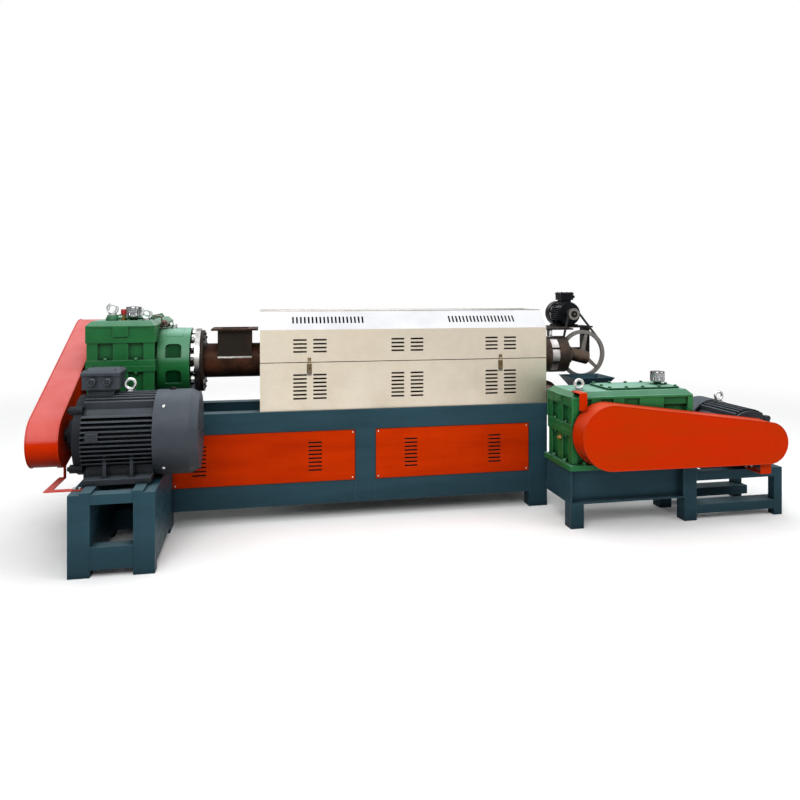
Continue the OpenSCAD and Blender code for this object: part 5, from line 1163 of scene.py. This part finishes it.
# Nut on the wheel's shaft end, and the small pulley's dished face with its bolt, which turn with the pulley
shaftLook = {"across": 0.032, "height": 0.014, "y": 0.2595}
pulleyLook = {"bolt": 0.014, "boltHeight": 0.009, "boltSeat": 0.0035,
              "dish": [(0, -0.002), (0.027, -0.002), (0.027, 0.0014), (0.025, 0.0035), (0.023, 0.00105),
                       (0.014, 0.00105), (0.012, 0.0035), (0, 0.0035)]}
pulleyLow, pulleyHigh = nodeBox("motor_pulley")
wheelMid, pulleyMid = 0.5 * np.add(*nodeBox("changer_wheel")), 0.5 * (pulleyLow + pulleyHigh)
nut = nutWithStud(shaftLook["across"], shaftLook["height"])
shaftEnd = [wheelMid[0], shaftLook["y"], wheelMid[2]]
addPiece("shaftNuts", [stamped(nut, shaftEnd, (0, -1, 0))], zincPlate)
pulleyFace = np.array([pulleyMid[0], pulleyLow[1], pulleyMid[2]])
addPiece("pulleyDish", [stamped(turned(pulleyLook["dish"], 32), pulleyFace, (0, -1, 0))], blackBolt,
         body="pulley")
addPiece("pulleyBolt", [stamped(boltHead(pulleyLook["bolt"], pulleyLook["boltHeight"]),
                                pulleyFace - [0, pulleyLook["boltSeat"], 0], (0, -1, 0))], latchSteel,
         body="pulley")

# Back of the changer belt: a flat band round the outside of the belt's loop
beltLook = {"thick": 0.006, "width": 0.0124}
beltLow, beltHigh = nodeBox("changer_belt")
outer = 0.5 * beltLook["thick"]
loop = racetrack(wheelMid[[0, 2]], wheelMid[2] - beltLow[2] + outer, pulleyMid[[0, 2]],
                 beltHigh[2] - pulleyMid[2] + outer)
loop = np.insert(loop, 1, 0.5 * (beltLow[1] + beltHigh[1]), axis=1)
addPiece("beltBack", [swept(loop, flatSection(beltLook["thick"], beltLook["width"]), (0, 1, 0), closed=True)],
         beltBlack)

# Plain steel sleeve over the bracket's front post
sleeveLook = {"radius": 0.021, "edge": 0.003, "endShare": 0.92, "x": 1.0685, "y": 0.0875}
low, high = nodeEdges("changer_bracket", 2)[[-3, -2]]
radius, edge = sleeveLook["radius"], sleeveLook["edge"]
drawnIn = sleeveLook["endShare"] * radius
sleeve = turned([(0, low), (drawnIn, low), (radius, low + edge), (radius, high - edge), (drawnIn, high),
                 (0, high)])
addPiece("postSleeve", [stamped(sleeve, [sleeveLook["x"], sleeveLook["y"], 0], (0, 0, 1))], zincPlate)


# Camera, light and floor

cameraLook = {"place": (-1.1355, -4.9755, 1.566), "heading": 11.3, "focalPixels": 690.0,
              "horizonPixel": 292.0, "framePixels": 800.0, "sensor": 36.0}
camera = bpy.data.cameras.new("camera")
camera.sensor_width = cameraLook["sensor"]
camera.lens = cameraLook["sensor"] * cameraLook["focalPixels"] / cameraLook["framePixels"]
camera.shift_y = (cameraLook["horizonPixel"] - cameraLook["framePixels"] / 2) / cameraLook["framePixels"]
cameraObject = bpy.data.objects.new("camera", camera)
cameraObject.location = cameraLook["place"]
cameraObject.rotation_euler = (math.radians(90), 0, math.radians(-cameraLook["heading"]))
scene.collection.objects.link(cameraObject)
scene.camera = cameraObject

lightLook = {
    "key": {"place": (-2.0, -5.4, 4.8), "aim": (-0.2, 0.0, 0.7), "size": 4.0, "power": 250.0},
    "fill": {"place": (4.8, -4.0, 3.4), "aim": (0.8, 0.0, 0.6), "size": 3.5, "power": 80.0},
    "top": {"place": (0.0, 0.2, 6.4), "aim": (0.0, 0.0, 0.6), "size": 10.0, "power": 345.0},
    "back": {"place": (0.6, 5.6, 4.0), "aim": (0.0, 0.0, 0.8), "size": 4.0, "power": 110.0},
}
for name, look in lightLook.items():
    light = bpy.data.lights.new(name, "AREA")
    light.shape = "DISK"
    light.size = look["size"]
    light.energy = look["power"]
    lamp = bpy.data.objects.new(name, light)
    lamp.location = look["place"]
    way = np.array(look["aim"]) - np.array(look["place"])
    lamp.rotation_euler = (math.atan2(math.hypot(way[0], way[1]), -way[2]), 0, math.atan2(-way[0], way[1]))
    scene.collection.objects.link(lamp)

# Studio surround: paler overhead than at the horizon, plain white where the camera looks past the floor
surroundLook = {"horizon": (0.16, 0.155, 0.15, 1), "overhead": (0.62, 0.63, 0.66, 1), "overheadFrom": 0.75,
                "seen": (1, 1, 1, 1)}
world = bpy.data.worlds.new("studio")
world.use_nodes = True
scene.world = world
air = world.node_tree
direction = air.nodes.new("ShaderNodeTexCoord")
height = air.nodes.new("ShaderNodeSeparateXYZ")
ramp = air.nodes.new("ShaderNodeValToRGB")
horizon, overhead = ramp.color_ramp.elements
horizon.color = surroundLook["horizon"]
overhead.position = surroundLook["overheadFrom"]
overhead.color = surroundLook["overhead"]
rays = air.nodes.new("ShaderNodeLightPath")
seen = air.nodes.new("ShaderNodeMix")
seen.data_type = "RGBA"
seen.inputs[7].default_value = surroundLook["seen"]
air.links.new(direction.outputs["Generated"], height.inputs["Vector"])
air.links.new(height.outputs["Z"], ramp.inputs["Fac"])
air.links.new(rays.outputs["Is Camera Ray"], seen.inputs["Factor"])
air.links.new(ramp.outputs["Color"], seen.inputs[6])
air.links.new(seen.outputs[2], air.nodes["Background"].inputs["Color"])

# Floor: pale, and lit from within further out, so that it runs into the white surround
floorLook = {"radius": 60.0, "colour": (0.88, 0.88, 0.87), "speck": (0.86, 0.86, 0.85), "glowFrom": 3.0,
             "glowTo": 9.0}
floorSkin = Shader("studioFloor")
speck = floorSkin.spread(floorSkin.noise(3.0, 4), 0.3, 0.7)
away = floorSkin.tree.nodes.new("ShaderNodeVectorMath")
away.operation = "LENGTH"
floorSkin.link(floorSkin.objectCoords, away.inputs[0])
glow = floorSkin.spread(away.outputs["Value"], floorLook["glowFrom"], floorLook["glowTo"])
near = floorSkin.blend(speck, floorLook["colour"], floorLook["speck"])
floorSkin.colour(floorSkin.blend(glow, near, (0.0, 0.0, 0.0)))
floorSkin.set({"Roughness": 0.8, "Emission Color": (1, 1, 1, 1), "Specular IOR Level": 0.0})
floorSkin.link(glow, floorSkin.surface.inputs["Emission Strength"])
disc = turned([(0, 0), (floorLook["radius"] / 2, 0), (floorLook["radius"], 0)], 48)
floor = addPiece("studioFloor", [disc], floorSkin.material)
scene.view_settings.view_transform = "Standard"
print("camera, lights and floor placed")
